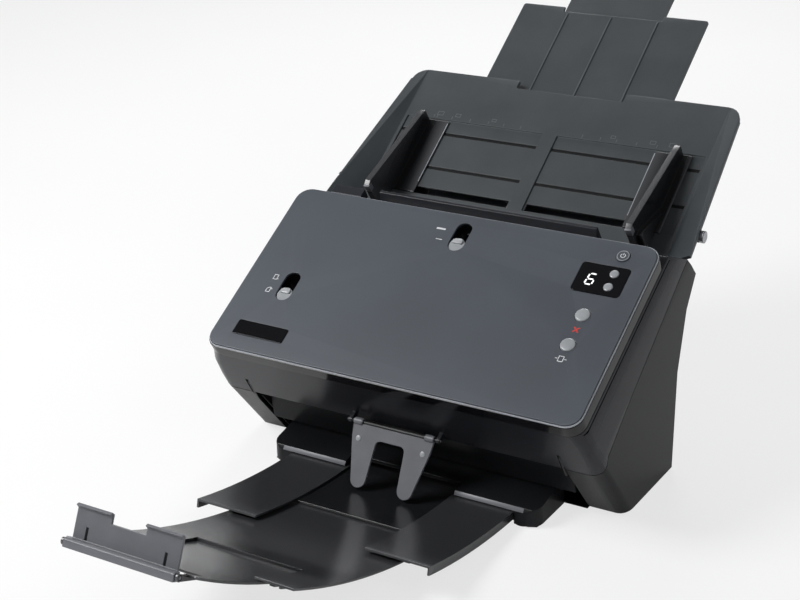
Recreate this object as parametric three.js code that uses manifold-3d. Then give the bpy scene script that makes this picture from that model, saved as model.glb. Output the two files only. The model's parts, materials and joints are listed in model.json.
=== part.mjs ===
// Sheet-fed document scanner: a hinged front cover over a slanted paper path,
// a lift-off input tray with two extensions, and a curved three-stage output tray.
// Millimetres, +Z up, the front faces -Y, and the paper runs down from back to front.
import * as THREE from 'three';
import { mergeVertices } from 'three/addons/utils/BufferGeometryUtils.js';
import Module from 'manifold-3d';

const wasm = await Module();
wasm.setup();

// Driving dimensions of the body
const bodyHalfWidth = 159.25;
const panelTilt = 30.61;
const panelFootY = -80.3;
const panelFootZ = 99.6;
const panelLength = 157.6;
const panelSideInset = 7.25;
const panelHalfWidth = bodyHalfWidth - panelSideInset;
const panelCorner = 11;
const cheekWidth = 27.85;
const cheekInner = bodyHalfWidth - cheekWidth;
const cheekLean = 39.9;
const deckSideInset = 18.4;
const deckHalfWidth = cheekInner - deckSideInset;
const bodyCorner = 10;
const frontProud = 1;
const footHeight = 1.2;
const bottomRound = 8;
const rearFootY = 73.6;
const rearMidY = 77.2;
const rearMidZ = 77.4;
const rearBendY = 90;
const rearBendZ = 122.7;
const rearTipY = 105.2;
const rearTipZ = 145.6;

// Driving dimensions of the paper path and input tray
const pathTilt = 35.3;
const trayHeadY = 226.5;
const trayHeadZ = 237.3;
const trayLength = 150;
const traySideInset = 1.25;
const trayFootHalfWidth = bodyHalfWidth - traySideInset;
const wingSpread = 23;
const trayCreaseHalfWidth = trayFootHalfWidth - wingSpread;
const headSpread = 10.5;
const trayHeadHalfWidth = trayCreaseHalfWidth + headSpread;
const trayFootRise = 15;

// Clearances shared by every piece
const gap = 0.3;
const runningGap = 0.25;
const wall = 2.2;
const plate = 1.8;
const overrun = 30;
const mergeStep = 1e-5;

const colours = {
  satin: 0x4c5157, gloss: 0x101114, shell: 0x38393d, side: 0x2a2b2e, tray: 0x3e4447,
  output: 0x202126, grey: 0x6e6f72, button: 0x9b9ea0, steel: 0xa8abb0, rubber: 0x2c2c2e,
  board: 0x1f5a3a, glass: 0x22262a, belt: 0x1b1b1d, zinc: 0x8c8f94,
};

const finishOf = (colour, roughness, metalness) => (
  new THREE.MeshStandardMaterial({ color: colour, roughness, metalness }));

// Two-dimensional frames in the side view: a point, and how its first axis is tilted.
const radians = THREE.MathUtils.degToRad;
const sideFrame = (originY, originZ, tilt) => {
  const cos = Math.cos(radians(tilt));
  const sin = Math.sin(radians(tilt));
  return {
    local: ([y, z]) => [(y - originY) * cos + (z - originZ) * sin,
      (z - originZ) * cos - (y - originY) * sin],
    world: ([a, b]) => [originY + a * cos - b * sin, originZ + a * sin + b * cos],
  };
};
const panelSide = sideFrame(panelFootY, panelFootZ, panelTilt);
const pathSide = sideFrame(trayHeadY, trayHeadZ, pathTilt);
const pathInPanel = (point) => panelSide.local(pathSide.world(point));

// Solids from closed triangle meshes, and back
const toSolid = (geometry) => {
  const plain = geometry.clone();
  plain.deleteAttribute('normal');
  plain.deleteAttribute('uv');
  const merged = mergeVertices(plain, mergeStep);
  const vertProperties = new Float32Array(merged.attributes.position.array);
  const triVerts = new Uint32Array(merged.index.array);
  return new wasm.Manifold(new wasm.Mesh({ numProp: 3, vertProperties, triVerts }));
};
const toGeometry = (solid) => {
  const mesh = solid.getMesh();
  const geometry = new THREE.BufferGeometry();
  geometry.setAttribute('position', new THREE.BufferAttribute(mesh.vertProperties, mesh.numProp));
  geometry.setIndex(new THREE.BufferAttribute(mesh.triVerts, 1));
  geometry.computeVertexNormals();
  return geometry;
};
const cut = (solid, ...tools) => tools.reduce((rest, tool) => rest.subtract(tool), solid);
const join = (solid, ...others) => others.reduce((whole, other) => whole.add(other), solid);

// Outlines
const area = (outline) => outline.reduce((sum, [x, y], i) => {
  const [nextX, nextY] = outline[(i + 1) % outline.length];
  return sum + (x * nextY - nextX * y) / 2;
}, 0);
const wound = (outline) => (area(outline) < 0 ? [...outline].reverse() : outline);
const arc = (x, y, radius, from, to, steps) => Array.from({ length: steps + 1 }, (_, i) => {
  const angle = radians(from + (to - from) * i / steps);
  return [x + radius * Math.cos(angle), y + radius * Math.sin(angle)];
});
const circle = (x, y, radius, steps) => arc(x, y, radius, 0, 360 - 360 / steps, steps - 1);
const rectangle = (left, right, low, high) => [[left, low], [right, low], [right, high], [left, high]];
const rounded = (left, right, low, high, radius, steps = 4) => [
  ...arc(right - radius, high - radius, radius, 0, 90, steps),
  ...arc(left + radius, high - radius, radius, 90, 180, steps),
  ...arc(left + radius, low + radius, radius, 180, 270, steps),
  ...arc(right - radius, low + radius, radius, 270, 360, steps),
];
// The same outline with every side moved inwards by a distance
const inset = (points, distance) => {
  const outline = wound(points);
  const count = outline.length;
  const sides = outline.map(([x, y], i) => {
    const [nextX, nextY] = outline[(i + 1) % count];
    const length = Math.hypot(nextX - x, nextY - y);
    const normal = [(y - nextY) / length, (nextX - x) / length];
    return { normal, offset: normal[0] * x + normal[1] * y + distance };
  });
  return sides.map((side, i) => {
    const before = sides[(i + count - 1) % count];
    const turn = before.normal[0] * side.normal[1] - before.normal[1] * side.normal[0];
    return [(before.offset * side.normal[1] - side.offset * before.normal[1]) / turn,
      (side.offset * before.normal[0] - before.offset * side.normal[0]) / turn];
  });
};

// Solids from outlines: along X, upwards, and along Y
const extruded = (outline, depth) => {
  const shape = new THREE.Shape(wound(outline).map(([x, y]) => new THREE.Vector2(x, y)));
  return new THREE.ExtrudeGeometry(shape, { depth, bevelEnabled: false, steps: 1 });
};
const sideTurn = new THREE.Matrix4().set(0, 0, 1, 0, 1, 0, 0, 0, 0, 1, 0, 0, 0, 0, 0, 1);
const across = (outline, left, right) => toSolid(
  extruded(outline, right - left).applyMatrix4(sideTurn).translate(left, 0, 0));
const upright = (outline, low, high) => toSolid(extruded(outline, high - low).translate(0, 0, low));
const block = (left, right, front, back, low, high) => (
  upright(rectangle(left, right, front, back), low, high));
const rodAcross = (y, z, radius, left, right, steps = 16) => across(circle(y, z, radius, steps), left,
  right);

// A solid through a list of closed outlines that hold the same number of points
const lofted = (sections) => {
  const count = sections[0].length;
  const positions = sections.flat(2);
  const index = [];
  for (let level = 0; level < sections.length - 1; level += 1) {
    for (let i = 0; i < count; i += 1) {
      const here = level * count + i;
      const next = level * count + (i + 1) % count;
      index.push(here, next, next + count, here, next + count, here + count);
    }
  }
  const last = (sections.length - 1) * count;
  for (let i = 1; i < count - 1; i += 1) {
    index.push(0, i + 1, i, last, last + i, last + i + 1);
  }
  const geometry = new THREE.BufferGeometry();
  geometry.setAttribute('position', new THREE.Float32BufferAttribute(positions, 3));
  const point = (i) => new THREE.Vector3().fromArray(positions, i * 3);
  let volume = 0;
  for (let i = 0; i < index.length; i += 3) {
    volume += point(index[i]).dot(point(index[i + 1]).cross(point(index[i + 2])));
  }
  geometry.setIndex(volume < 0 ? index.reverse() : index);
  return toSolid(geometry);
};

// Groups: the body stands in the world's axes, the cover's pieces lie in the panel's
// frame, and the tray's and rollers' pieces lie in the frame of the paper path.
const object = new THREE.Group();
const bodyFrame = new THREE.Group();
const panelFrame = new THREE.Group();
panelFrame.position.set(0, panelFootY, panelFootZ);
panelFrame.rotation.x = radians(panelTilt);
const pathFrame = new THREE.Group();
pathFrame.position.set(0, trayHeadY, trayHeadZ);
pathFrame.rotation.x = radians(pathTilt);
object.add(bodyFrame, panelFrame, pathFrame);

const put = (frame, name, solid, finish) => {
  const mesh = new THREE.Mesh(toGeometry(solid), finish);
  mesh.name = name;
  frame.add(mesh);
};
const bothSides = (make) => [['left', -1], ['right', 1]].forEach(([side, sign]) => make(side, sign));
const spanned = (sign, near, far) => (sign < 0 ? [-far, -near] : [near, far]);

// The seam between cover and base, in the panel's frame: straight along the side,
// then an arc about the cover's pivot, so that the cover turns clear of the base
const pivotAlong = 3;
const pivotRise = -44.5;
const seamRound = 11.4;
const seamDip = 5.35;
const seamMidAlong = 60;
const seamMidRise = -43;
const seamSteps = 8;
const seamRearOverhang = 20.25;
const seamRearRise = -33;
const seamRearAlong = panelLength + seamRearOverhang;
const seamLine = (lift) => {
  const radius = seamRound - lift;
  const startAngle = THREE.MathUtils.radToDeg(Math.asin((lift - seamDip) / radius));
  const frontAngle = THREE.MathUtils.radToDeg(Math.acos(-(pivotAlong + frontProud) / radius));
  return [
    [seamRearAlong, seamRearRise + lift],
    [seamMidAlong, seamMidRise + lift],
    ...arc(pivotAlong, pivotRise, radius, startAngle, -frontAngle, seamSteps),
  ];
};
const rimDepth = 12;
const coverBackOverhang = 3.4;
const coverBackAlong = panelLength + coverBackOverhang;
const coverOutline = [...seamLine(0), [-frontProud, -rimDepth], [coverBackAlong, -rimDepth]];

// The body's outer form in the panel's frame: round front corners that flare downwards,
// and a front that leans back further below the seam
const cornerSteps = 5;
const formDepth = 180;
const formBack = 240;
const rimProud = 1.5;
const shoulderDepth = 24;
const shoulderInset = 1.8;
const flareDepth = 42;
const [, cheekTopRise] = seamLine(-gap).at(-1);
const cheekTurn = radians(cheekLean - panelTilt);
const bodyForm = (inwards) => {
  const section = (halfWidth, corner, height, front) => {
    const half = halfWidth - inwards;
    const radius = Math.max(corner - inwards, wall);
    return [[half, formBack], [-half, formBack],
      ...arc(-half + radius, front + radius, radius, 180, 270, cornerSteps),
      ...arc(half - radius, front + radius, radius, 270, 360, cornerSteps),
    ].map(([x, y]) => [x, y, height]);
  };
  const rimHalfWidth = panelHalfWidth + rimProud;
  const front = inwards - frontProud;
  const kneeRise = cheekTopRise - inwards * Math.tan(cheekTurn / 2);
  const footFront = front + (kneeRise + formDepth) * Math.tan(cheekTurn);
  return lofted([
    section(rimHalfWidth, panelCorner, -rimDepth + (inwards > 0 ? overrun : 0), front),
    section(bodyHalfWidth - shoulderInset, bodyCorner, -shoulderDepth, front),
    section(bodyHalfWidth, bodyCorner, -flareDepth, front),
    section(bodyHalfWidth, bodyCorner, kneeRise, front),
    section(bodyHalfWidth, bodyCorner, -formDepth, footFront),
  ]);
};

// The base below the seam, as an outline in the panel's frame. With a reach it stands
// in front of the leaning front, which then comes from the body's form.
const baseOutline = (reach = 0) => {
  const lean = radians(cheekLean);
  const outwards = [-Math.cos(lean), -Math.sin(lean)];
  const [topY, topZ] = panelSide.world([-frontProud, cheekTopRise]);
  const roundZ = footHeight + bottomRound;
  const roundY = topY + (bottomRound - (roundZ - topZ) * Math.sin(lean)) / Math.cos(lean);
  const round = arc(roundY, roundZ, bottomRound, 180 + cheekLean, 270, cornerSteps);
  const ahead = ([y, z]) => [y + outwards[0] * reach, z + outwards[1] * reach];
  return [
    ...[[rearFootY, footHeight], [rearMidY, rearMidZ], [rearBendY, rearBendZ], [rearTipY, rearTipZ]]
      .map(panelSide.local),
    ...seamLine(-gap),
    ...(reach > 0 ? [[-frontProud - reach, cheekTopRise], panelSide.local(ahead(round[0]))] : []),
    ...round.map(panelSide.local),
  ];
};

// Side casings: hollow cheeks on both sides of the paper path, open towards it
const footSideInset = 16.25;
const footX = bodyHalfWidth - footSideInset;
const footBackY = 60;
const footCornerInset = 14;
const footFrontX = deckHalfWidth - footCornerInset;
const frontReach = 15;
const footFrontY = -50;
const footRadius = 7;
const footRecess = 1.2;
const footSteps = 20;
const tongueSideInset = 9;
const tongueWidth = 9;
const tongueFar = trayFootHalfWidth - tongueSideInset;
const tongueNear = tongueFar - tongueWidth;
const tongueLow = 2.5;
const tongueHigh = 6.5;
const tongueLength = 22;
const sideFinish = finishOf(colours.side, 0.4, 0);
bothSides((side, sign) => {
  const [left, right] = spanned(sign, cheekInner, bodyHalfWidth + overrun);
  const outer = bodyForm(0).intersect(across(baseOutline(frontReach), left, right));
  const [hollowLeft, hollowRight] = spanned(sign, cheekInner - overrun, bodyHalfWidth - wall);
  const hollow = bodyForm(wall).intersect(across(inset(baseOutline(frontReach), wall), hollowLeft,
    hollowRight));
  const [slotLeft, slotRight] = spanned(sign, tongueNear - gap, tongueFar + gap);
  const slot = across(rectangle(-trayLength - overrun, -trayLength + overrun, tongueLow - gap,
    tongueHigh + gap)
    .map(pathInPanel), slotLeft, slotRight);
  const recess = toSolid(extruded(circle(sign * footX, footBackY, footRadius + gap, footSteps), overrun)
    .translate(0, 0, footHeight + footRecess - overrun)
    .translate(0, -panelFootY, -panelFootZ).rotateX(-radians(panelTilt)));
  put(panelFrame, `side_casing_${side}`, cut(outer, hollow, slot, recess), sideFinish);
});

// Frame plates: sheet steel inside the cheeks, with the shafts' bores and the cover's pivots
const plateSideGap = 0.4;
const framePlateThickness = 1.6;
const framePlateFar = cheekInner - plateSideGap;
const framePlateNear = framePlateFar - framePlateThickness;
const framePlateInset = 3;
const lugHalfWidth = 3.6;
const pivotRadius = 2;
const pivotReach = 8;
const shaftRadius = 3;
const driveRadius = 8;
const rearDriveU = -232;
const frontDriveU = -306;
const feedU = -200;
const feedRadius = 12;
const motorY = 40;
const motorZ = 54;
const guideTop = -0.6;
const rearDrive = pathInPanel([rearDriveU, -driveRadius]);
const frontDrive = pathInPanel([frontDriveU, -driveRadius]);
const feed = pathInPanel([feedU, -feedRadius]);
const motorPlace = panelSide.local([motorY, motorZ]);
bothSides((side, sign) => {
  const [left, right] = spanned(sign, framePlateNear, framePlateFar);
  const sheet = across(inset(baseOutline(), framePlateInset), left, right);
  const lug = across([...arc(pivotAlong, pivotRise, lugHalfWidth, 0, 180, seamSteps),
    [pivotAlong - lugHalfWidth, pivotRise - seamRound - framePlateInset * 3],
    [pivotAlong + lugHalfWidth, pivotRise - seamRound - framePlateInset * 3]], left, right);
  const bore = ([s, n], radius) => rodAcross(s, n, radius, -bodyHalfWidth, bodyHalfWidth);
  const [pinLeft, pinRight] = spanned(sign, framePlateNear - pivotReach, framePlateFar);
  const pin = rodAcross(pivotAlong, pivotRise, pivotRadius, pinLeft, pinRight);
  const shaftBore = shaftRadius + runningGap;
  const motorBore = sign > 0 ? [bore(motorPlace, shaftBore)] : [];
  const bored = cut(join(sheet, lug), bore(rearDrive, shaftBore), bore(frontDrive, shaftBore),
    bore(feed, shaftBore), ...motorBore);
  put(panelFrame, `frame_plate_${side}`, join(bored, pin), finishOf(colours.steel, 0.45, 0.9));
});

// Rear cover: the back wall between the cheeks, with the sockets' openings
const rearHalfWidth = cheekInner - gap;
const guideHalfWidth = framePlateNear - plateSideGap;
const rearCoverLip = 10;
const jackX = 62;
const jackZ = 26;
const jackHalfWidth = 5.5;
const usbX = 38;
const usbHalfWidth = 6.5;
const usbHalfHeight = 6;
const lockSideInset = 31.1;
const lockX = lockSideInset - rearHalfWidth;
const lockHalfWidth = 3.5;
const lockHalfHeight = 1.6;
const panFloor = 1.2;
const rearOuter = [[rearFootY, footHeight], [rearMidY, rearMidZ], [rearBendY, rearBendZ],
  [rearTipY, rearTipZ]];
const rearTurn = Math.atan2(rearMidY - rearFootY, rearMidZ - footHeight);
const rearAt = (z) => rearFootY + (z - footHeight) * Math.tan(rearTurn);
{
  const innerSkin = [[rearFootY - wall, footHeight], [rearMidY - wall, rearMidZ],
    [rearBendY - wall, rearBendZ], [rearTipY - wall, rearTipZ - wall]];
  const [lipU, lipW] = pathSide.local([rearTipY, rearTipZ]);
  const lip = across(rectangle(lipU - rearCoverLip, lipU, lipW - wall, lipW).map(pathSide.world),
    -guideHalfWidth, guideHalfWidth);
  const outline = [...rearOuter, ...innerSkin.reverse()];
  const opening = (x, z, halfWidth, halfHeight) => (
    block(x - halfWidth, x + halfWidth, rearFootY - overrun / 2, rearMidY + overrun / 2, z - halfHeight,
    z + halfHeight));
  const skin = across(outline, -rearHalfWidth, rearHalfWidth);
  put(bodyFrame, 'rear_cover', cut(join(skin, lip),
    opening(jackX, jackZ, jackHalfWidth + gap, jackHalfWidth + gap),
    opening(usbX, jackZ, usbHalfWidth + gap, usbHalfHeight + gap),
    opening(lockX, jackZ, lockHalfWidth, lockHalfHeight)), sideFinish);
}

// Output stages ride on circles about one axis far above the front
const arcCentreY = -38;
const arcCentreZ = 556.5;
const wingTop = 546.1;
const centreTop = 547.9;
const secondTop = 550;
const thirdTop = 552;
const stagePlate = 1.6;
const stageStep = 1.25;
const stageOneInset = 18.8;
const stageTwoInset = 23.8;
const stageThreeInset = 22.8;
const stageInnerInset = 1.6;
const stageInnerStep = 2.4;
const stageOneHalfWidth = deckHalfWidth - stageOneInset;
const stageTwoHalfWidth = stageOneHalfWidth - stageTwoInset;
const stageThreeHalfWidth = stageTwoHalfWidth - stageThreeInset;
const stageOneInner = stageThreeHalfWidth - stageInnerInset;
const stageTwoInner = stageOneInner - stageInnerStep;
const stageOneTurn = { front: 14.31, centreFront: 8.99, rear: -0.5 };
const stageTwoTurn = { front: 27.2, centreFront: 21.43, rear: 8 };
const stageThreeTurn = { front: 34.4, rear: 20 };
const arcPoint = (radius, angle) => [arcCentreY - radius * Math.sin(radians(angle)),
  arcCentreZ - radius * Math.cos(radians(angle))];
// A curved bar between two radii and two angles, whose facets fall on the same angles as its neighbours'
const curved = (left, right, top, bottom, rear, front) => {
  const first = Math.floor(rear / stageStep) + 1;
  const last = Math.ceil(front / stageStep) - 1;
  const middle = Array.from({ length: Math.max(last - first + 1, 0) }, (_, i) => (first + i) * stageStep);
  const angles = [rear, ...middle, front];
  const outline = [...angles.map((angle) => arcPoint(top, angle)),
    ...angles.reverse().map((angle) => arcPoint(bottom, angle))];
  return across(outline, left, right);
};

// Bottom pan: the floor, with the rails that the first output stage runs between
const deckFrontY = -58;
const deckFrontZ = 11.5;
const deckBevelY = 2;
const deckBevelZ = 3.1;
const deckBackY = -14;
const deckBackZ = 24;
const deckCorner = 10;
const recessDepth = 11;
const stageSideGap = 0.5;
const recessHalfWidth = stageOneInner + stageSideGap;
const railHeight = 9;
const panWindowHalfWidth = 53;
const panWindowBack = 50;
const panBackY = rearFootY - wall - gap;
const panTop = footHeight + panFloor;
const deckWallGap = 2;
const panFrontY = deckFrontY + deckWallGap + wall;
{
  const back = block(-rearHalfWidth, rearHalfWidth, deckBackY + gap, panBackY, footHeight, panTop);
  const front = block(-deckHalfWidth + wall + gap, deckHalfWidth - wall - gap, panFrontY, deckBackY + wall,
    footHeight, panTop);
  const railNear = stageOneHalfWidth + stageSideGap;
  const rails = [-1, 1].map((sign) => {
    const [left, right] = spanned(sign, railNear, railNear + wall);
    return block(left, right, deckBackY + wall, panBackY - wall, panTop - gap, panTop + railHeight);
  });
  const window = block(-panWindowHalfWidth, panWindowHalfWidth, panFrontY - overrun, panWindowBack,
    -overrun, overrun);
  put(bodyFrame, 'bottom_pan', cut(join(back, front, ...rails), window), finishOf(colours.side, 0.6, 0));
}

// Output deck: the low front of the base, with a bevelled strip and a recess in the middle
{
  const plan = upright([
    ...arc(-deckHalfWidth + deckCorner, deckFrontY + deckCorner, deckCorner, 180, 270, cornerSteps),
    ...arc(deckHalfWidth - deckCorner, deckFrontY + deckCorner, deckCorner, 270, 360, cornerSteps),
    [deckHalfWidth, deckBackY], [-deckHalfWidth, deckBackY]], panTop - panFloor, arcCentreZ);
  const topOutline = [[deckFrontY - overrun, deckFrontZ], [deckFrontY, deckFrontZ],
    [deckFrontY + deckBevelY, deckFrontZ + deckBevelZ], [deckBackY, deckBackZ],
    [deckBackY + overrun, deckBackZ]];
  const above = across([...topOutline, [deckBackY + overrun, arcCentreZ + overrun],
    [deckFrontY - overrun, arcCentreZ + overrun]], -bodyHalfWidth, bodyHalfWidth);
  const underTop = (low) => [[deckFrontY - overrun, deckFrontZ], [deckFrontY, deckFrontZ],
    [deckFrontY + deckBevelY, deckFrontZ + deckBevelZ - wall], [deckBackY + overrun, deckBackZ - wall],
    [deckBackY + overrun, low], [deckFrontY - overrun, low]];
  const channelHalf = stageOneHalfWidth + stageSideGap;
  const channel = across(underTop(-overrun), -channelHalf, channelHalf);
  const pockets = [-1, 1].map((sign) => {
    const [left, right] = spanned(sign, channelHalf + wall, deckHalfWidth - wall);
    const room = block(left, right, deckFrontY + deckCorner / 2 + wall, deckBackY + overrun, -overrun,
      deckBackZ);
    return across(underTop(-overrun), left, right).intersect(room);
  });
  const channelBack = block(-deckHalfWidth + wall, deckHalfWidth - wall, panFrontY - gap,
    deckBackY + overrun,
    -overrun, panTop + gap);
  const recess = block(-recessHalfWidth, recessHalfWidth, deckFrontY - overrun, deckFrontY + recessDepth,
    panTop, arcCentreZ);
  put(bodyFrame, 'output_deck', cut(plan, above, channel, ...pockets, channelBack, recess),
    finishOf(colours.side, 0.35, 0));
}

// Feet: two under the cheeks at the back, two under the output deck
bothSides((side, sign) => {
  const foot = (x, y, high) => upright(circle(x, y, footRadius, footSteps), 0, high);
  put(bodyFrame, `back_foot_${side}`, foot(sign * footX, footBackY, footHeight + footRecess - gap),
    finishOf(colours.rubber, 0.9, 0));
  put(bodyFrame, `front_foot_${side}`, foot(sign * footFrontX, footFrontY, footHeight - gap),
    finishOf(colours.rubber, 0.9, 0));
});

// Main board with its sockets behind the rear cover
const boardThickness = 1.6;
const boardGap = 6;
const boardLeft = -70;
const boardRight = 76;
const boardLow = 19.5;
const boardHigh = 58;
const standoffSize = 3;
const standoffInset = 5;
{
  const boardBack = rearAt(boardLow) - wall - boardGap;
  const sheet = block(boardLeft, boardRight, boardBack - boardThickness, boardBack, boardLow, boardHigh);
  const standoffs = [boardLeft + standoffInset, boardRight - standoffInset].flatMap((x) => (
    [boardLow + standoffInset, boardHigh - standoffInset].map((z) => block(x - standoffSize,
    x + standoffSize,
      boardBack - boardThickness / 2, rearAt(z - standoffSize) - wall - gap, z - standoffSize,
      z + standoffSize))));
  put(bodyFrame, 'main_board', join(sheet, ...standoffs), finishOf(colours.board, 0.6, 0));
  const socket = (name, x, halfWidth, halfHeight, boreHalfWidth, boreHalfHeight, finish) => {
    const face = rearAt(jackZ - halfHeight);
    const body = block(x - halfWidth, x + halfWidth, boardBack + gap, face, jackZ - halfHeight,
      jackZ + halfHeight);
    const bore = block(x - boreHalfWidth, x + boreHalfWidth, boardBack + wall, face + overrun,
      jackZ - boreHalfHeight, jackZ + boreHalfHeight);
    put(bodyFrame, name, cut(body, bore), finish);
  };
  const socketBoreShare = 0.62;
  socket('dc_jack', jackX, jackHalfWidth, jackHalfWidth, jackHalfWidth * socketBoreShare,
    jackHalfWidth * socketBoreShare, finishOf(colours.gloss, 0.4, 0));
  socket('usb_socket', usbX, usbHalfWidth, usbHalfHeight, usbHalfWidth * socketBoreShare,
    usbHalfHeight * socketBoreShare, finishOf(colours.steel, 0.35, 0.9));
}

// Lower guide: the paper's bed in the base, with windows for rollers and the lower sensor,
// the exit wall down to the deck, and the latch's catch beside the path
const guideThickness = 2;
const guideStartU = -151;
const guideEndU = -322;
const windowGap = 1;
const sensorLowU = -252;
const sensorLength = 19;
const sensorSideInset = 17;
const sensorHalfWidth = guideHalfWidth - sensorSideInset;
const sensorDepth = 15;
const sleeveSideInset = 25;
const sleeveHalfWidth = guideHalfWidth - sleeveSideInset;
const feedHalfWidth = 17;
const latchSideInset = 25.5;
const latchWidth = 27;
const latchArmInset = 2.5;
const latchArmWidth = 5;
const latchLeft = latchSideInset - panelHalfWidth;
const latchRight = latchLeft + latchWidth;
const latchArmLeft = latchLeft + latchArmInset;
const latchArmRight = latchArmLeft + latchArmWidth;
const catchSideRoom = 2;
const catchNear = -latchArmRight - windowGap;
const catchFar = catchSideRoom - latchArmLeft;
const catchU = -176;
const catchHalfLength = 3;
const catchHeight = 7;
const exitFootY = -30;
const exitFootZ = 21.4;
{
  const exitHead = pathSide.world([guideEndU, guideTop]);
  const exitWall = [exitHead, [exitFootY, exitFootZ], [exitFootY + guideThickness, exitFootZ],
    pathSide.world([guideEndU + guideThickness, guideTop - guideThickness])].map(pathSide.local);
  const bed = join(
    across(rectangle(guideEndU, guideStartU, guideTop - guideThickness, guideTop), -guideHalfWidth,
    guideHalfWidth),
    across(exitWall, -guideHalfWidth, guideHalfWidth));
  const window = (u, halfLength, halfWidth) => (
    block(-halfWidth, halfWidth, u - halfLength, u + halfLength, -overrun, overrun));
  const reach = (radius) => Math.sqrt(radius ** 2 - (radius + guideTop - guideThickness) ** 2) + windowGap;
  const [catchLeft, catchRight] = spanned(-1, catchNear, catchFar);
  const latchCatch = block(catchLeft, catchRight, catchU - catchHalfLength, catchU + catchHalfLength,
    guideTop - guideThickness / 2, catchHeight);
  put(pathFrame, 'lower_guide', join(cut(bed,
    window(rearDriveU, reach(driveRadius), sleeveHalfWidth + windowGap),
    window(frontDriveU, reach(driveRadius), sleeveHalfWidth + windowGap),
    window(feedU, reach(feedRadius), feedHalfWidth + windowGap),
    window(sensorLowU - sensorLength / 2, sensorLength / 2 + gap, sensorHalfWidth + gap)), latchCatch),
  finishOf(colours.side, 0.5, 0));
  const sensor = block(-sensorHalfWidth, sensorHalfWidth, sensorLowU - sensorLength, sensorLowU,
    guideTop - sensorDepth, guideTop - plate);
  put(pathFrame, 'lower_scan_unit', sensor, finishOf(colours.gloss, 0.6, 0));
  const glass = block(-sensorHalfWidth, sensorHalfWidth, sensorLowU - sensorLength, sensorLowU,
    guideTop - plate + gap, guideTop);
  put(pathFrame, 'lower_scan_glass', glass, finishOf(colours.glass, 0.08, 0));
}

// Rollers in the base: shaft, rubber and pulley turn as one
const pulleyRadius = 7;
const motorPulleyRadius = 5;
const pulleySideGap = 3;
const pulleyWidth = 7;
const pulleyNear = framePlateFar + pulleySideGap;
const pulleyFar = pulleyNear + pulleyWidth;
const flangeRadius = 1.6;
const flangeWidth = 1;
const shaftEnd = pulleyFar + flangeWidth;
const rollerSteps = 24;
const shaftSteps = 14;
const roller = (frame, name, y, z, radius, halfWidth) => {
  const shaft = rodAcross(y, z, shaftRadius, -framePlateFar - gap, shaftEnd, shaftSteps);
  const rubber = rodAcross(y, z, radius, -halfWidth, halfWidth, rollerSteps);
  const pulley = rodAcross(y, z, pulleyRadius, pulleyNear, pulleyFar, rollerSteps);
  const flanges = [pulleyNear, pulleyFar].map((x) => (
    rodAcross(y, z, pulleyRadius + flangeRadius, x - flangeWidth, x, rollerSteps)));
  put(frame, name, join(shaft, rubber, pulley, ...flanges), finishOf(colours.rubber, 0.8, 0));
};
roller(pathFrame, 'rear_drive_roller', rearDriveU, -driveRadius, driveRadius, sleeveHalfWidth);
roller(pathFrame, 'front_drive_roller', frontDriveU, -driveRadius, driveRadius, sleeveHalfWidth);
roller(pathFrame, 'feed_roller', feedU, -feedRadius, feedRadius, feedHalfWidth);

// Motor on the right frame plate, its pulley outside, and the belt round all four pulleys
const motorHalf = 20;
const motorLength = 34;
const motorCorner = 5;
const motorBossRadius = 9;
const motorBossDepth = 1.4;
const beltThickness = 1.2;
{
  const motorFace = framePlateNear - gap;
  const can = across(rounded(motorY - motorHalf, motorY + motorHalf, motorZ - motorHalf, motorZ + motorHalf,
    motorCorner, 3), motorFace - motorBossDepth - motorLength, motorFace - motorBossDepth);
  const boss = rodAcross(motorY, motorZ, motorBossRadius, motorFace - motorBossDepth - wall, motorFace,
    rollerSteps);
  const socket = rodAcross(motorY, motorZ, shaftRadius + runningGap, motorFace - motorLength / 2,
    motorFace + wall,
    shaftSteps);
  put(bodyFrame, 'motor', cut(join(can, boss), socket), finishOf(colours.zinc, 0.45, 0.8));
  const shaft = rodAcross(motorY, motorZ, shaftRadius, motorFace - motorLength / 2 + wall, shaftEnd,
    shaftSteps);
  const pulley = rodAcross(motorY, motorZ, motorPulleyRadius, pulleyNear, pulleyFar, rollerSteps);
  const flanges = [pulleyNear, pulleyFar].map((x) => (
    rodAcross(motorY, motorZ, motorPulleyRadius + flangeRadius, x - flangeWidth, x, rollerSteps)));
  put(bodyFrame, 'motor_pulley', join(shaft, pulley, ...flanges), finishOf(colours.steel, 0.4, 0.8));

  const stations = [
    [...pathSide.world([rearDriveU, -driveRadius]), pulleyRadius],
    [...pathSide.world([frontDriveU, -driveRadius]), pulleyRadius],
    [...pathSide.world([feedU, -feedRadius]), pulleyRadius],
    [motorY, motorZ, motorPulleyRadius]];
  const loop = (extra) => {
    const points = stations.flatMap(([y, z, radius]) => circle(y, z, radius + extra, rollerSteps * 2));
    points.sort((a, b) => a[0] - b[0] || a[1] - b[1]);
    const turn = (a, b, c) => (b[0] - a[0]) * (c[1] - a[1]) - (b[1] - a[1]) * (c[0] - a[0]);
    const chain = (list) => list.reduce((hull, point) => {
      while (hull.length > 1 && turn(hull[hull.length - 2], hull[hull.length - 1], point) <= 0) hull.pop();
      return [...hull, point];
    }, []);
    return [...chain(points).slice(0, -1), ...chain([...points].reverse()).slice(0, -1)];
  };
  const beltLeft = pulleyNear + gap;
  const beltRight = pulleyFar - flangeWidth - gap;
  const belt = across(loop(gap + beltThickness), beltLeft, beltRight)
    .subtract(across(loop(gap), beltLeft - overrun, beltRight + overrun));
  put(bodyFrame, 'drive_belt', belt, finishOf(colours.belt, 0.8, 0));
}

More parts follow.
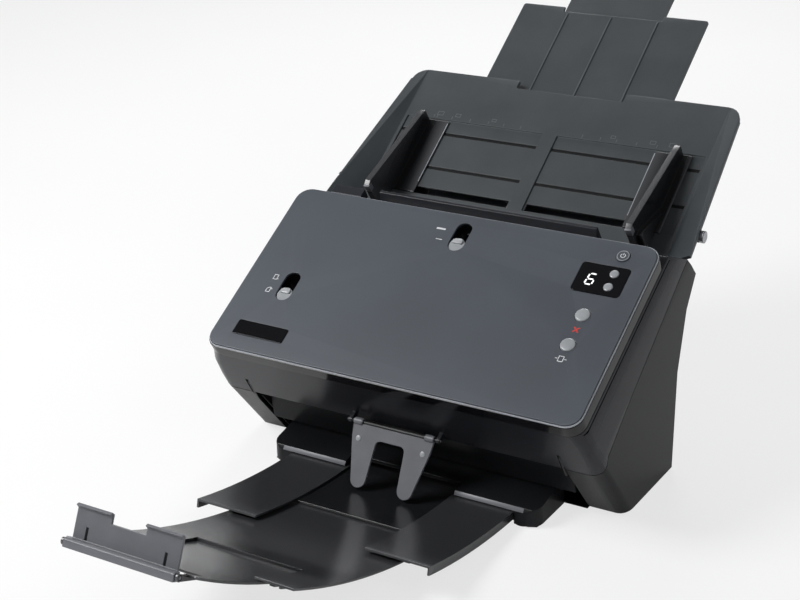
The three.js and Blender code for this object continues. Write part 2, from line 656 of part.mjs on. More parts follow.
// Cover shell: hollow slab with a top flange for the rim, a hooked front lip,
// hinge knuckles on the pivots and a paper lip along its back edge
const knuckleSideGap = 0.7;
const knuckleWidth = 7.2;
const knuckleFar = framePlateNear - knuckleSideGap;
const knuckleNear = knuckleFar - knuckleWidth;
const knuckleBack = 8;
const knuckleLow = -51;
const lipBack = 14.5;
const mouthInset = 7;
const coverSideLap = 0.6;
const coverInnerHalf = cheekInner + coverSideLap;
const rimLedge = 3.8;
const feedLipSideInset = 39;
const feedLipHalfWidth = coverInnerHalf - feedLipSideInset;
const feedLipFootInset = 9.3;
const feedLipTopInset = 1.5;
const feedLipFootAlong = seamRearAlong - feedLipFootInset;
const feedLipFootRise = -20.5;
const feedLipTopAlong = seamRearAlong - feedLipTopInset;
const feedLipTopRise = -11.1;
const feedLipWidth = 2.4;
const lugSlotGap = 0.5;
const lugSlotNear = framePlateNear - lugSlotGap;
const lugSlotFar = framePlateFar + lugSlotGap;
const lugSlotTop = -39.5;
const flapAxisAlong = -6.9;
const flapAxisRise = -49.2;
const flapRodRadius = 1.3;
const flapLugNear = 35.2;
const flapLugFar = 38.2;
const flapLugRadius = 2.1;
const latchOverhang = 6.9;
const latchAlong = panelLength + latchOverhang;
const latchArmDepth = 3;
const latchTravel = 3;
const shellFinish = finishOf(colours.shell, 0.25, 0);
{
  const roof = -rimDepth - wall;
  const outer = bodyForm(0).intersect(across(coverOutline, -bodyHalfWidth - overrun,
    bodyHalfWidth + overrun));
  const room = bodyForm(wall).intersect(across(inset(coverOutline, wall), -bodyHalfWidth, bodyHalfWidth));
  const mouth = block(-coverInnerHalf, coverInnerHalf, lipBack, seamRearAlong - mouthInset, -formDepth,
    seamRearRise + wall * 2);
  const topOpening = upright(rounded(-panelHalfWidth + rimLedge, panelHalfWidth - rimLedge, rimLedge,
    panelLength - rimLedge, wall), roof - wall, overrun);
  const slots = [-1, 1].map((sign) => {
    const [left, right] = spanned(sign, lugSlotNear, lugSlotFar);
    return block(left, right, -overrun, lipBack + wall, -formDepth, lugSlotTop);
  });
  const knuckles = [-1, 1].map((sign) => {
    const [left, right] = spanned(sign, knuckleNear, knuckleFar);
    return block(left, right, 0, knuckleBack, knuckleLow, roof + wall / 2);
  });
  const bore = rodAcross(pivotAlong, pivotRise, pivotRadius + runningGap, -coverInnerHalf, coverInnerHalf);
  const feedLip = across([[feedLipFootAlong, feedLipFootRise],
    [feedLipTopAlong - feedLipWidth, feedLipTopRise],
    [feedLipTopAlong, feedLipTopRise], [seamRearAlong - gap, seamRearRise + wall],
    [seamRearAlong - wall, seamRearRise + wall]],
  -feedLipHalfWidth, feedLipHalfWidth);
  const flapLugs = [-1, 1].map((sign) => {
    const [left, right] = spanned(sign, flapLugNear, flapLugFar);
    return across([...arc(flapAxisAlong, flapAxisRise, flapLugRadius, 90, 270, seamSteps),
      [wall - frontProud, flapAxisRise - flapLugRadius],
      [wall - frontProud, flapAxisRise + flapLugRadius]], left, right);
  });
  const flapBore = rodAcross(flapAxisAlong, flapAxisRise, flapRodRadius + runningGap, -flapLugFar - gap,
    flapLugFar + gap);
  const latchNotch = block(latchLeft - gap, latchRight + gap, panelLength, formBack, -rimDepth * 2,
    overrun);
  const armSlot = block(latchArmLeft - gap, latchArmRight + gap, latchAlong - latchArmDepth - gap,
    latchAlong + latchTravel + gap, -formDepth, overrun);
  const shell = join(cut(outer, room, mouth, topOpening), feedLip, ...knuckles, ...flapLugs);
  put(panelFrame, 'cover_shell', cut(shell, ...slots, bore, flapBore, latchNotch, armSlot), shellFinish);
}

// Panel rim and panel plate with the controls' openings
const switchHalfWidth = 6.4;
const switchLength = 27;
const sizeSwitchSideInset = 39.4;
const sizeSwitchLow = 49.7;
const modeSwitchTopInset = 34;
const modeSwitchLow = panelLength - modeSwitchTopInset;
const sizeSwitch = { x: sizeSwitchSideInset - panelHalfWidth, low: sizeSwitchLow,
  high: sizeSwitchLow + switchLength };
const modeSwitch = { x: 0, low: modeSwitchLow, high: modeSwitchLow + switchLength };
const displaySideInset = 13.7;
const displayWidth = 36.8;
const displayTopInset = 22.3;
const displayHeight = 26.3;
const displayRight = panelHalfWidth - displaySideInset;
const displayLeft = displayRight - displayWidth;
const displayHigh = panelLength - displayTopInset;
const displayLow = displayHigh - displayHeight;
const displayCorner = 3;
const labelSideInset = 17.5;
const labelWidth = 44;
const labelLeft = labelSideInset - panelHalfWidth;
const labelRight = labelLeft + labelWidth;
const labelLow = 12.8;
const labelHigh = 25.5;
const labelCorner = 1.5;
const labelDepth = 0.6;
const panelTop = 0;
const buttonFlange = 1.2;
const buttonSteps = 20;
const pocketFloor = 1.5;
const pocketDepth = 9.5;
const slitHalfWidth = 1.5;
const slitInset = 3;
const boardDrop = 0.4;
const boardTop = -rimDepth - boardDrop;
const boardSideInset = 6;
const boardWidth = 51;
const boardFarX = panelHalfWidth - boardSideInset;
const boardNearX = boardFarX - boardWidth;
const boardTopInset = 9.6;
const boardLength = 98;
const keyBoardBack = panelLength - boardTopInset;
const keyBoardFront = keyBoardBack - boardLength;
const keySideInset = 24.3;
const keyX = panelHalfWidth - keySideInset;
const largeKeySideInset = 32.35;
const largeKeyX = panelHalfWidth - largeKeySideInset;
const powerKeyRadius = 5;
const powerKeyTopInset = 12.1;
const arrowKeyRadius = 3.4;
const upKeyPlace = 19.6;
const downKeyPlace = 7.6;
const largeKeyRadius = 5.6;
const cancelKeyDrop = 19.6;
const scanKeyDrop = 46.2;
const buttons = [
  { name: 'power_button', x: keyX, s: panelLength - powerKeyTopInset, radius: powerKeyRadius },
  { name: 'up_button', x: keyX, s: displayLow + upKeyPlace, radius: arrowKeyRadius },
  { name: 'down_button', x: keyX, s: displayLow + downKeyPlace, radius: arrowKeyRadius },
  { name: 'cancel_button', x: largeKeyX, s: displayLow - cancelKeyDrop, radius: largeKeyRadius },
  { name: 'scan_button', x: largeKeyX, s: displayLow - scanKeyDrop, radius: largeKeyRadius },
];
const pill = ({ x, low, high }, grow) => rounded(x - switchHalfWidth - grow, x + switchHalfWidth + grow,
  low - grow, high + grow, switchHalfWidth + grow - gap / 2, 5);
{
  const outline = (grow) => rounded(-panelHalfWidth - grow, panelHalfWidth + grow, -grow,
    panelLength + grow,
    panelCorner + grow / 2, cornerSteps);
  const buttonHoles = (extra, low) => buttons.map(({ x, s, radius }) => (
    upright(circle(x, s, radius + extra, buttonSteps), low, overrun)));
  const switches = [sizeSwitch, modeSwitch];
  const plateHoles = switches.map((place) => upright(pill(place, 0), -overrun, overrun));
  const glassHole = upright(rounded(displayLeft - gap, displayRight + gap, displayLow - gap,
    displayHigh + gap,
    displayCorner), -overrun, overrun);
  const labelSeat = upright(rounded(labelLeft - gap, labelRight + gap, labelLow - gap, labelHigh + gap,
    labelCorner),
    panelTop - labelDepth, overrun);
  put(panelFrame, 'panel_plate', cut(upright(outline(0), -plate, panelTop), ...plateHoles, glassHole,
    labelSeat,
    ...buttonHoles(gap, -overrun)), finishOf(colours.satin, 0.45, 0));

  const rimTop = -plate - gap;
  const slab = upright(outline(rimProud), -rimDepth + gap, rimTop);
  const hollow = upright(rounded(-panelHalfWidth + rimLedge * 2, panelHalfWidth - rimLedge * 2,
    rimLedge * 2,
    panelLength - rimLedge * 2, panelCorner), -rimDepth - overrun, rimTop - wall);
  const bosses = switches.map((place) => upright(pill(place, wall), -pocketDepth - pocketFloor,
    rimTop - wall / 2));
  const pockets = switches.map((place) => upright(pill(place, 0), -pocketDepth, overrun));
  const slits = switches.map(({ x, low, high }) => (
    block(x - slitHalfWidth, x + slitHalfWidth, low + slitInset, high - slitInset, -overrun, overrun)));
  const posts = [keyBoardFront, keyBoardBack].map((s) => (
    upright(circle(boardNearX, s, wall, buttonSteps / 2), boardTop + gap, rimTop - wall / 2)));
  const latchNotch = block(latchLeft - gap, latchRight + gap, panelLength + gap, formBack, -overrun,
    overrun);
  put(panelFrame, 'panel_rim', cut(join(cut(slab, hollow), ...bosses, ...posts), ...pockets, ...slits,
    latchNotch,
    ...buttonHoles(buttonFlange + gap, -overrun)), finishOf(colours.gloss, 0.12, 0));

  put(panelFrame, 'label_plate', upright(rounded(labelLeft, labelRight, labelLow, labelHigh, labelCorner),
    panelTop - labelDepth + gap, panelTop + gap), finishOf(colours.gloss, 0.15, 0));
  const displayButtons = buttons.slice(1, 3);
  const displayHoles = displayButtons.map(({ x, s, radius }) => (
    upright(circle(x, s, radius + gap, buttonSteps), -overrun, overrun)));
  put(panelFrame, 'display_window', cut(upright(rounded(displayLeft, displayRight, displayLow, displayHigh,
    displayCorner), rimTop + gap, panelTop + gap / 2), ...displayHoles), finishOf(colours.gloss, 0.08, 0));
}

// Control board, buttons and slide switches
const buttonProud = 0.7;
const buttonTravel = 0.8;
const knobLength = 12.5;
const knobLow = -9;
const knobTop = -1.2;
const neckHalfWidth = 1.2;
const neckHalfLength = 4;
const clipThickness = 1.2;
const clipHalfWidth = 4;
const ridgeHeight = 1;
{
  put(panelFrame, 'control_board', block(boardNearX - wall * 2, boardFarX, keyBoardFront - wall * 2,
    keyBoardBack + wall * 2, boardTop - boardThickness, boardTop), finishOf(colours.board, 0.6, 0));
  buttons.forEach(({ name, x, s, radius }) => {
    const cap = upright(circle(x, s, radius, buttonSteps), -plate - gap - wall, panelTop + buttonProud);
    const flange = upright(circle(x, s, radius + buttonFlange, buttonSteps),
      -plate - gap - buttonFlange, -plate - gap);
    const stem = upright(circle(x, s, radius / 2, buttonSteps / 2), boardTop + buttonTravel + gap,
      -plate - gap - wall / 2);
    put(panelFrame, name, join(cap, flange, stem), finishOf(colours.button, 0.3, 0));
  });
  const knobHalf = switchHalfWidth - gap;
  [['size_switch', sizeSwitch], ['mode_switch', modeSwitch]].forEach(([name, { x, low }]) => {
    const start = low + gap;
    const knob = upright(rounded(x - knobHalf, x + knobHalf, start, start + knobLength, knobHalf - gap, 5),
      knobLow, knobTop);
    const middle = start + knobLength / 2;
    const ridge = block(x - knobHalf / 2, x + knobHalf / 2, start + knobLength - ridgeHeight * 2,
      start + knobLength - ridgeHeight, knobTop - ridgeHeight, knobTop + ridgeHeight);
    const neck = block(x - neckHalfWidth, x + neckHalfWidth, middle - neckHalfLength + wall,
      middle + neckHalfLength - wall, -pocketDepth - pocketFloor - wall, knobLow + wall);
    const clipTop = -pocketDepth - pocketFloor - gap;
    const clip = block(x - clipHalfWidth, x + clipHalfWidth, middle - neckHalfLength + wall,
      middle + neckHalfLength - wall, clipTop - clipThickness, clipTop);
    put(panelFrame, name, join(knob, ridge, neck, clip), finishOf(colours.button, 0.35, 0));
  });
}

// Release latch: a pull tab at the top left with an arm down to its catch
const tabThickness = 8.8;
const tabLow = -10.6;
{
  const tab = block(latchLeft, latchRight, panelLength + rimProud + gap, latchAlong + latchArmDepth, tabLow,
    tabLow + tabThickness);
  const [, catchTopRise] = pathInPanel([catchU, catchHeight]);
  const arm = block(latchArmLeft, latchArmRight, latchAlong - latchArmDepth, latchAlong,
    catchTopRise + wall, tabLow + wall / 2);
  put(panelFrame, 'release_latch', join(tab, arm), shellFinish);
}

// Upper guide in the cover: windows for pinch rollers, sensor and separator arm, and their bearings
const upperLow = 1;
const pinchRadius = 6;
const pinchAxis = pinchRadius + gap * 2;
const pinchShaft = 1.8;
const pinchHalf = 60;
const pinchEnd = 66;
const bearingHalf = 4;
const bearingTop = 11;
const upperSensorU = -271;
const entryRise = 18;
const upperStartU = -165;
const entryKneeU = -184;
const strutFrontAlong = 25;
const strutFrontFoot = -61.5;
const strutBackInset = 22.6;
const strutBackFoot = -53;
const strutPlaces = [[strutFrontAlong, strutFrontFoot], [panelLength - strutBackInset, strutBackFoot]];
const strutHalf = 3;
const strutNear = 75;
const latchRoomInner = 116;
const separatorHalfWidth = 15;
const separatorAxisU = -212;
const separatorAxisW = 9;
{
  const line = [[upperStartU, entryRise], [entryKneeU, upperLow + wall], [entryKneeU - wall * 2, upperLow],
    [guideEndU, upperLow], [guideEndU - wall, upperLow + wall]];
  const sheet = across([...line, ...line.map(([u, w]) => [u + gap, w + guideThickness]).reverse()],
    -guideHalfWidth + wall, guideHalfWidth - wall);
  const window = (low, high, halfWidth) => block(-halfWidth, halfWidth, low, high, -overrun, overrun * 2);
  const pinchWindow = (u) => window(u - pinchRadius - windowGap, u + pinchRadius + windowGap,
    pinchHalf + windowGap);
  const panelInPath = (point) => pathSide.local(panelSide.world(point));
  const struts = [-1, 1].flatMap((sign) => strutPlaces.map(([s, n]) => across(
    rectangle(s - strutHalf, s + strutHalf, n, -plate - gap * 2 - wall).map(panelInPath),
    ...spanned(sign, strutNear, strutNear + strutHalf * 2))));
  const latchRoom = block(-guideHalfWidth, -latchRoomInner, entryKneeU - wall, overrun, -overrun,
    formDepth);
  const bearings = [rearDriveU, frontDriveU].flatMap((u) => [-1, 1].map((sign) => {
    const [left, right] = spanned(sign, pinchHalf + windowGap * 2, pinchEnd);
    return block(left, right, u - bearingHalf, u + bearingHalf, upperLow + wall / 2, bearingTop);
  }));
  const bores = [rearDriveU, frontDriveU].map((u) => (
    rodAcross(u, pinchAxis, pinchShaft + runningGap, -pinchEnd - gap, pinchEnd + gap, shaftSteps)));
  const ears = [-1, 1].map((sign) => {
    const [left, right] = spanned(sign, separatorHalfWidth + windowGap,
      separatorHalfWidth + windowGap + wall);
    return block(left, right, separatorAxisU - bearingHalf, separatorAxisU + bearingHalf,
      upperLow + wall / 2,
      separatorAxisW + bearingHalf);
  });
  const earBore = rodAcross(separatorAxisU, separatorAxisW, pinchShaft + runningGap,
    -separatorHalfWidth * 2, separatorHalfWidth * 2, shaftSteps);
  put(pathFrame, 'upper_guide', cut(join(cut(sheet, pinchWindow(rearDriveU), pinchWindow(frontDriveU),
    window(upperSensorU - sensorLength - gap, upperSensorU + gap, sensorHalfWidth + gap),
    window(separatorAxisU - windowGap - wall, feedU + driveRadius + windowGap,
    separatorHalfWidth + windowGap / 2)),
  ...bearings, ...ears, ...struts), ...bores, earBore, latchRoom), finishOf(colours.side, 0.5, 0));
  const pinch = (name, u) => {
    const rubber = rodAcross(u, pinchAxis, pinchRadius, -pinchHalf, pinchHalf, rollerSteps);
    const shaft = rodAcross(u, pinchAxis, pinchShaft, -pinchEnd - gap, pinchEnd + gap, shaftSteps);
    put(pathFrame, name, join(rubber, shaft), finishOf(colours.rubber, 0.8, 0));
  };
  pinch('rear_pinch_roller', rearDriveU);
  pinch('front_pinch_roller', frontDriveU);
  const arm = across([[separatorAxisU - wall, separatorAxisW - wall],
    [separatorAxisU - wall, separatorAxisW + wall],
    [separatorAxisU + wall, separatorAxisW + wall], [feedU + driveRadius, upperLow + wall * 2],
    [feedU + driveRadius, upperLow + wall], [feedU + wall, gap * 2], [feedU - wall, gap * 2]],
  -separatorHalfWidth, separatorHalfWidth);
  const armPins = rodAcross(separatorAxisU, separatorAxisW, pinchShaft,
    -separatorHalfWidth - windowGap - wall, separatorHalfWidth + windowGap + wall, shaftSteps);
  put(pathFrame, 'separator_arm', join(arm, armPins), finishOf(colours.grey, 0.7, 0));
  put(pathFrame, 'upper_scan_unit', block(-sensorHalfWidth, sensorHalfWidth, upperSensorU - sensorLength,
    upperSensorU, upperLow + plate, upperLow + sensorDepth), finishOf(colours.gloss, 0.6, 0));
  put(pathFrame, 'upper_scan_glass', block(-sensorHalfWidth, sensorHalfWidth, upperSensorU - sensorLength,
    upperSensorU, upperLow, upperLow + plate - gap), finishOf(colours.glass, 0.08, 0));
}

// Paper flap: a rod in the cover's lugs, and the U-shaped flap that hangs on it.
// It is drawn in a frame of its own, hanging down from the rod.
const flapDrop = 48.5;
const flapLean = 29.1;
const flapThickness = 2;
const flapHalfTop = 33.6;
const flapHalfTip = 25.9;
const flapArch = 10.6;
const flapInnerTop = 12.2;
const flapInnerTip = 13.4;
const prongRound = 6.2;
const archRound = 4;
const flapEyeNear = 26;
const flapEyeFar = 33.4;
const flapEyeRadius = 2.5;
const prongClear = 1.6;
{
  const [axisY, axisZ] = panelSide.world([flapAxisAlong, flapAxisRise]);
  const flapFrame = new THREE.Group();
  flapFrame.position.set(0, axisY, axisZ);
  flapFrame.rotation.x = -radians(flapLean);
  object.add(flapFrame);
  put(flapFrame, 'flap_rod', rodAcross(0, 0, flapRodRadius, -flapLugFar - wall / 2,
    flapLugFar + wall / 2, shaftSteps),
    finishOf(colours.steel, 0.3, 0.9));
  const tip = -flapDrop + prongClear;
  const prong = (sign) => arc(sign * (flapHalfTip + flapInnerTip) / 2, tip + prongRound,
    prongRound, sign > 0 ? 360 : 180, sign > 0 ? 180 : 360, 8);
  const outlineXZ = [
    [flapHalfTop, -flapEyeRadius / 2], [flapHalfTop - archRound / 4, -flapArch],
    ...prong(1),
    [flapInnerTop, -flapArch - archRound],
    ...arc(flapInnerTop - archRound, -flapArch - archRound, archRound, 0, 90, 4),
    ...arc(-flapInnerTop + archRound, -flapArch - archRound, archRound, 90, 180, 4),
    [-flapInnerTop, -flapArch - archRound],
    ...[...prong(-1)].reverse(),
    [-flapHalfTop + archRound / 4, -flapArch], [-flapHalfTop, -flapEyeRadius / 2],
  ];
  const face = toSolid(extruded(outlineXZ, flapThickness).rotateX(radians(90)).translate(0,
    flapThickness / 2, 0));
  const eyes = [-1, 1].map((sign) => {
    const [left, right] = spanned(sign, flapEyeNear, flapEyeFar);
    return rodAcross(0, 0, flapEyeRadius, left, right, rollerSteps);
  });
  const bore = rodAcross(0, 0, flapRodRadius + runningGap, -flapLugFar, flapLugFar, shaftSteps);
  const bridge = block(-flapEyeNear - wall, flapEyeNear + wall, -flapThickness / 2, flapThickness / 2,
    -flapEyeRadius - wall, -flapRodRadius - gap);
  put(flapFrame, 'paper_flap', cut(join(face, bridge, ...eyes), bore), finishOf(colours.grey, 0.45, 0));
}

// Output stages: each a curved plate with skirts, wings longer than its middle,
// and hooked rails that carry the next stage
const skirtDepth = 6.6;
const skirtThickness = 1.8;
const railGap = 0.5;
const railThickness = 1.6;
const hookReach = 5;
const hookThickness = 1.2;
const skirtTwoInset = 8.8;
const stageFinish = finishOf(colours.output, 0.4, 0);
{
  const { front, centreFront, rear } = stageOneTurn;
  const [halfWidth, inner] = [stageOneHalfWidth, stageOneInner];
  const railNear = stageTwoHalfWidth + railGap;
  const hookTop = secondTop + stagePlate + gap;
  const sides = [-1, 1].flatMap((sign) => [
    curved(...spanned(sign, inner - plate, halfWidth), wingTop, wingTop + plate, rear, front),
    curved(...spanned(sign, halfWidth - skirtThickness, halfWidth), wingTop, wingTop + skirtDepth, rear,
    front),
    curved(...spanned(sign, inner - plate, inner), wingTop, centreTop + stagePlate, rear, centreFront),
    curved(...spanned(sign, railNear, railNear + railThickness), wingTop + plate / 2,
    hookTop + hookThickness,
      rear, front - stageStep),
    curved(...spanned(sign, railNear - hookReach, railNear + railThickness), hookTop,
    hookTop + hookThickness,
      rear, front - stageStep)]);
  const middle = curved(-inner, inner, centreTop, centreTop + stagePlate, rear, centreFront);
  put(bodyFrame, 'output_stage_1', join(middle, ...sides), stageFinish);
}
{
  const { front, centreFront, rear } = stageTwoTurn;
  const [halfWidth, inner] = [stageTwoHalfWidth, stageTwoInner];
  const railNear = stageThreeHalfWidth + railGap;
  const hookTop = thirdTop + stagePlate + gap;
  const skirtAt = halfWidth - skirtTwoInset;
  const sides = [-1, 1].flatMap((sign) => [
    curved(...spanned(sign, inner - plate, halfWidth), secondTop, secondTop + stagePlate, rear, front),
    curved(...spanned(sign, skirtAt - skirtThickness, skirtAt), secondTop + stagePlate / 2,
      thirdTop + stagePlate / 2, rear, front),
    curved(...spanned(sign, railNear, railNear + railThickness), secondTop + stagePlate / 2,
    hookTop + hookThickness,
      rear, front - stageStep),
    curved(...spanned(sign, railNear - hookReach / 2, railNear + railThickness), hookTop,
    hookTop + hookThickness,
      rear, front - stageStep)]);
  const middle = curved(-inner, inner, secondTop, secondTop + stagePlate, rear, centreFront);
  put(bodyFrame, 'output_stage_2', join(middle, ...sides), stageFinish);
}

// Third stage and the paper stop on its end, drawn in a frame at the hinge
const stopAxisY = -357.8;
const stopAxisZ = 103.2;
const stopLean = 25;
const stopBarInset = 7.1;
const stopSheetInset = 2;
const stopBarHalfWidth = stageThreeHalfWidth - stopBarInset;
const stopHalfWidth = stopBarHalfWidth - stopSheetInset;
const stopHeight = 19.6;
const stopThickness = 1.8;
const stopPinRadius = 1.2;
const knuckleArmWidth = 2;
const stopBarFront = 3.2;
const stopBarRear = 2.2;
const stopBarTop = 2.8;
const stopBarLow = 3;
const stopCurl = 2.4;
const stopNotchShare = 0.327;
const stopNotchDepth = 5.6;
const stopSlitShare = 0.727;
const stopSlitHeight = 8;
const knuckleRadius = 2.6;
{
  const { front, rear } = stageThreeTurn;
  const halfWidth = stageThreeHalfWidth;
  const floor = curved(-halfWidth, halfWidth, thirdTop, thirdTop + stagePlate, rear, front);
  const armNear = stopBarHalfWidth + gap;
  const [edgeY, edgeZ] = arcPoint(thirdTop, front - stageStep);
  const [underY, underZ] = arcPoint(thirdTop + stagePlate, front - stageStep);
  const arms = [-1, 1].map((sign) => across([...arc(stopAxisY, stopAxisZ, knuckleRadius, 90, 270,
    seamSteps),
    [underY, underZ], [edgeY, edgeZ]], ...spanned(sign, armNear, armNear + knuckleArmWidth)));
  const bore = rodAcross(stopAxisY, stopAxisZ, stopPinRadius + runningGap, -halfWidth, halfWidth,
    shaftSteps);
  const barRoom = rodAcross(stopAxisY, stopAxisZ, Math.hypot(stopBarRear + stopThickness, stopBarLow) + gap,
    -armNear, armNear, rollerSteps);
  // The notch in the floor's end that the stop's sheet lies in when it is folded inwards
  const foldReach = Math.hypot(stopBarRear + stopThickness, stopHeight + stopBarTop + stopCurl / 2);
  const foldHalf = stopHalfWidth + gap;
  const foldRoom = block(-foldHalf, foldHalf, stopAxisY - foldReach, stopAxisY + foldReach,
    stopAxisZ - foldReach, stopAxisZ + foldReach);
  put(bodyFrame, 'output_stage_3', cut(join(floor, ...arms), barRoom, foldRoom, bore), stageFinish);

  const stopFrame = new THREE.Group();
  stopFrame.position.set(0, stopAxisY, stopAxisZ);
  stopFrame.rotation.x = -radians(stopLean);
  object.add(stopFrame);
  const top = stopHeight + stopBarTop;
  const sheet = across([[stopBarRear, -stopBarLow], [stopBarRear + stopThickness, -stopBarLow],
    [stopBarRear + stopThickness, top], [stopBarRear + stopThickness - stopCurl, top + stopCurl / 2],
    [stopBarRear - stopCurl, top], [stopBarRear, top - stopThickness]], -stopHalfWidth, stopHalfWidth);
  const bar = across([[-stopBarFront, -stopBarLow], [stopBarRear + gap, -stopBarLow],
    [stopBarRear + gap, stopBarTop],
    [-stopBarFront + stopCurl / 2, stopBarTop], [-stopBarFront, stopBarTop - stopCurl / 2]],
  -stopBarHalfWidth, stopBarHalfWidth);
  const stopNotchHalf = stopHalfWidth * stopNotchShare;
  const stopSlitX = stopHalfWidth * stopSlitShare;
  const notch = block(-stopNotchHalf, stopNotchHalf, -overrun, overrun, top - stopNotchDepth,
    top + overrun);
  const slits = [-1, 1].map((sign) => block(...spanned(sign, stopSlitX, stopSlitX + stopThickness),
    -overrun,
    overrun, stopBarTop + gap, stopBarTop + stopSlitHeight));
  const pin = rodAcross(0, 0, stopPinRadius, -armNear - knuckleArmWidth, armNear + knuckleArmWidth,
    shaftSteps);
  put(stopFrame, 'paper_stop', join(cut(join(sheet, bar), notch, ...slits), pin),
    finishOf(colours.grey, 0.45, 0));
}

// Input tray: floor with a recessed field, flared wings, notch, slits and the tongues into the cheeks
const floorThickness = 3;
const fieldTop = -50;
const fieldLow = -126;
const fieldSideInset = 3;
const fieldHalfWidth = trayCreaseHalfWidth - fieldSideInset;
const fieldDepth = 1.2;
const grooveDepth = 0.7;
const grooveHalf = 1.5;
const grooveShares = [0.18, 0.64];
const ribHalfWidth = 6.5;
const slitTop = -118.5;
const slitLow = -125.8;
const slitNear = 8;
const slitSideInset = 13;
const slitFar = fieldHalfWidth - slitSideInset;
const notchHalfWidth = 48;
const notchDepth = 8;
const trayCorner = 12;
const wingThickness = 2.6;
const studU = -126;
const studW = 5;
const studSideInset = 2.6;
const studX = trayFootHalfWidth - studSideInset;
const bossLength = 3.9;
const studRadius = 4.6;
const studLength = 3.5;
const trayFinish = finishOf(colours.tray, 0.7, 0);
{
  const flat = upright(rounded(-trayCreaseHalfWidth - wall, trayCreaseHalfWidth + wall, -trayLength, 0,
    wall / 2, 2),
    -floorThickness, 0);
  const wings = [-1, 1].map((sign) => {
    const section = (u, farX, rise) => {
      const nearX = trayCreaseHalfWidth;
      return [[nearX, u, 0], [farX, u, rise], [farX, u, rise - wingThickness - floorThickness / 2],
        [nearX, u, -floorThickness]].map(([x, y, z]) => [sign * x, y, z]);
    };
    return lofted([section(0, trayHeadHalfWidth, 0),
      section(-trayLength, trayFootHalfWidth, trayFootRise)]);
  });
  const cornerCut = [-1, 1].map((sign) => {
    const x = trayHeadHalfWidth;
    const keep = [[sign * (x + overrun), -trayCorner], [sign * (x + overrun), overrun],
      [sign * (x - trayCorner), overrun],
      ...arc(sign * (x - trayCorner), -trayCorner, trayCorner, 90, sign > 0 ? 0 : 180, cornerSteps)];
    return upright(keep, -overrun, overrun);
  });
  const field = upright(rectangle(-fieldHalfWidth, fieldHalfWidth, fieldLow, fieldTop), -fieldDepth,
    overrun);
  const rib = block(-ribHalfWidth, ribHalfWidth, fieldLow - wall, fieldTop + wall, -floorThickness, 0);
  const grooves = grooveShares.flatMap((share) => [-1, 1].map((sign) => {
    const u = fieldTop + (fieldLow - fieldTop) * share;
    const [left, right] = spanned(sign, ribHalfWidth, fieldHalfWidth);
    return block(left, right, u - grooveHalf, u + grooveHalf, -fieldDepth - grooveDepth, overrun);
  }));
  const slits = [-1, 1].map((sign) => block(...spanned(sign, slitNear, slitFar), slitLow, slitTop,
    -overrun, overrun));
  const notch = upright(rounded(-notchHalfWidth, notchHalfWidth, -notchDepth, overrun, wall), -overrun,
    overrun);
  const tongues = [-1, 1].map((sign) => {
    const [left, right] = spanned(sign, tongueNear, tongueFar);
    return block(left, right, -trayLength - tongueLength, -trayLength + wall, tongueLow, tongueHigh);
  });
  const bosses = [-1, 1].map((sign) => rodAcross(studU, studW, studRadius,
    ...spanned(sign, studX - bossLength, studX),
    buttonSteps));
  const studRoom = [-1, 1].map((sign) => rodAcross(studU, studW, studRadius + gap,
    ...spanned(sign, studX, bodyHalfWidth), buttonSteps));
  put(pathFrame, 'tray_floor', cut(join(cut(join(flat, ...wings), field), rib, ...tongues, ...bosses),
    ...grooves, ...slits,
    notch, ...cornerCut, ...studRoom), trayFinish);
}

// Tray back: the channel under the floor that holds the extensions
const guideSideInset = 22;
const guideWallNear = fieldHalfWidth - guideSideInset;
const guideFootInset = 10;
const guideFootNear = guideWallNear - guideFootInset;
const channelSideInset = 12;
const channelHalfWidth = guideFootNear - channelSideInset;
const extensionSideInset = 3.9;
const extensionHalfWidth = channelHalfWidth - extensionSideInset;
const extensionTop = -7.5;
const extensionThickness = 2.3;
const extensionHead = 90.9;
const extensionFoot = -34;
const secondHalfWidth = 45;
const secondHead = 165;
const secondFoot = 68;
const secondThickness = 2;
const channelFoot = -145;
const channelWallFoot = -92;
const channelHead = -3;
const railDrop = 2.4;
const channelTop = extensionTop - extensionThickness - secondThickness - railDrop - gap * 2;
{
  const base = block(-channelHalfWidth, channelHalfWidth, channelFoot, channelHead, channelTop - wall,
    channelTop);
  const walls = [-1, 1].map((sign) => block(...spanned(sign, extensionHalfWidth + stageSideGap,
    channelHalfWidth), channelWallFoot, channelHead, channelTop - wall / 2, -floorThickness - gap));
  const ledges = [-1, 1].map((sign) => block(...spanned(sign, extensionHalfWidth - rimLedge,
    channelHalfWidth),
    channelWallFoot, channelHead, channelTop - wall / 2, extensionTop - extensionThickness - gap));
  put(pathFrame, 'tray_back', join(base, ...walls, ...ledges), trayFinish);
}

// Tray studs: metal discs on the bosses beside the wings
bothSides((side, sign) => {
  put(pathFrame, `tray_stud_${side}`, rodAcross(studU, studW, studRadius,
    ...spanned(sign, studX + gap, studX + gap + studLength), buttonSteps),
    finishOf(colours.steel, 0.3, 0.9));
});

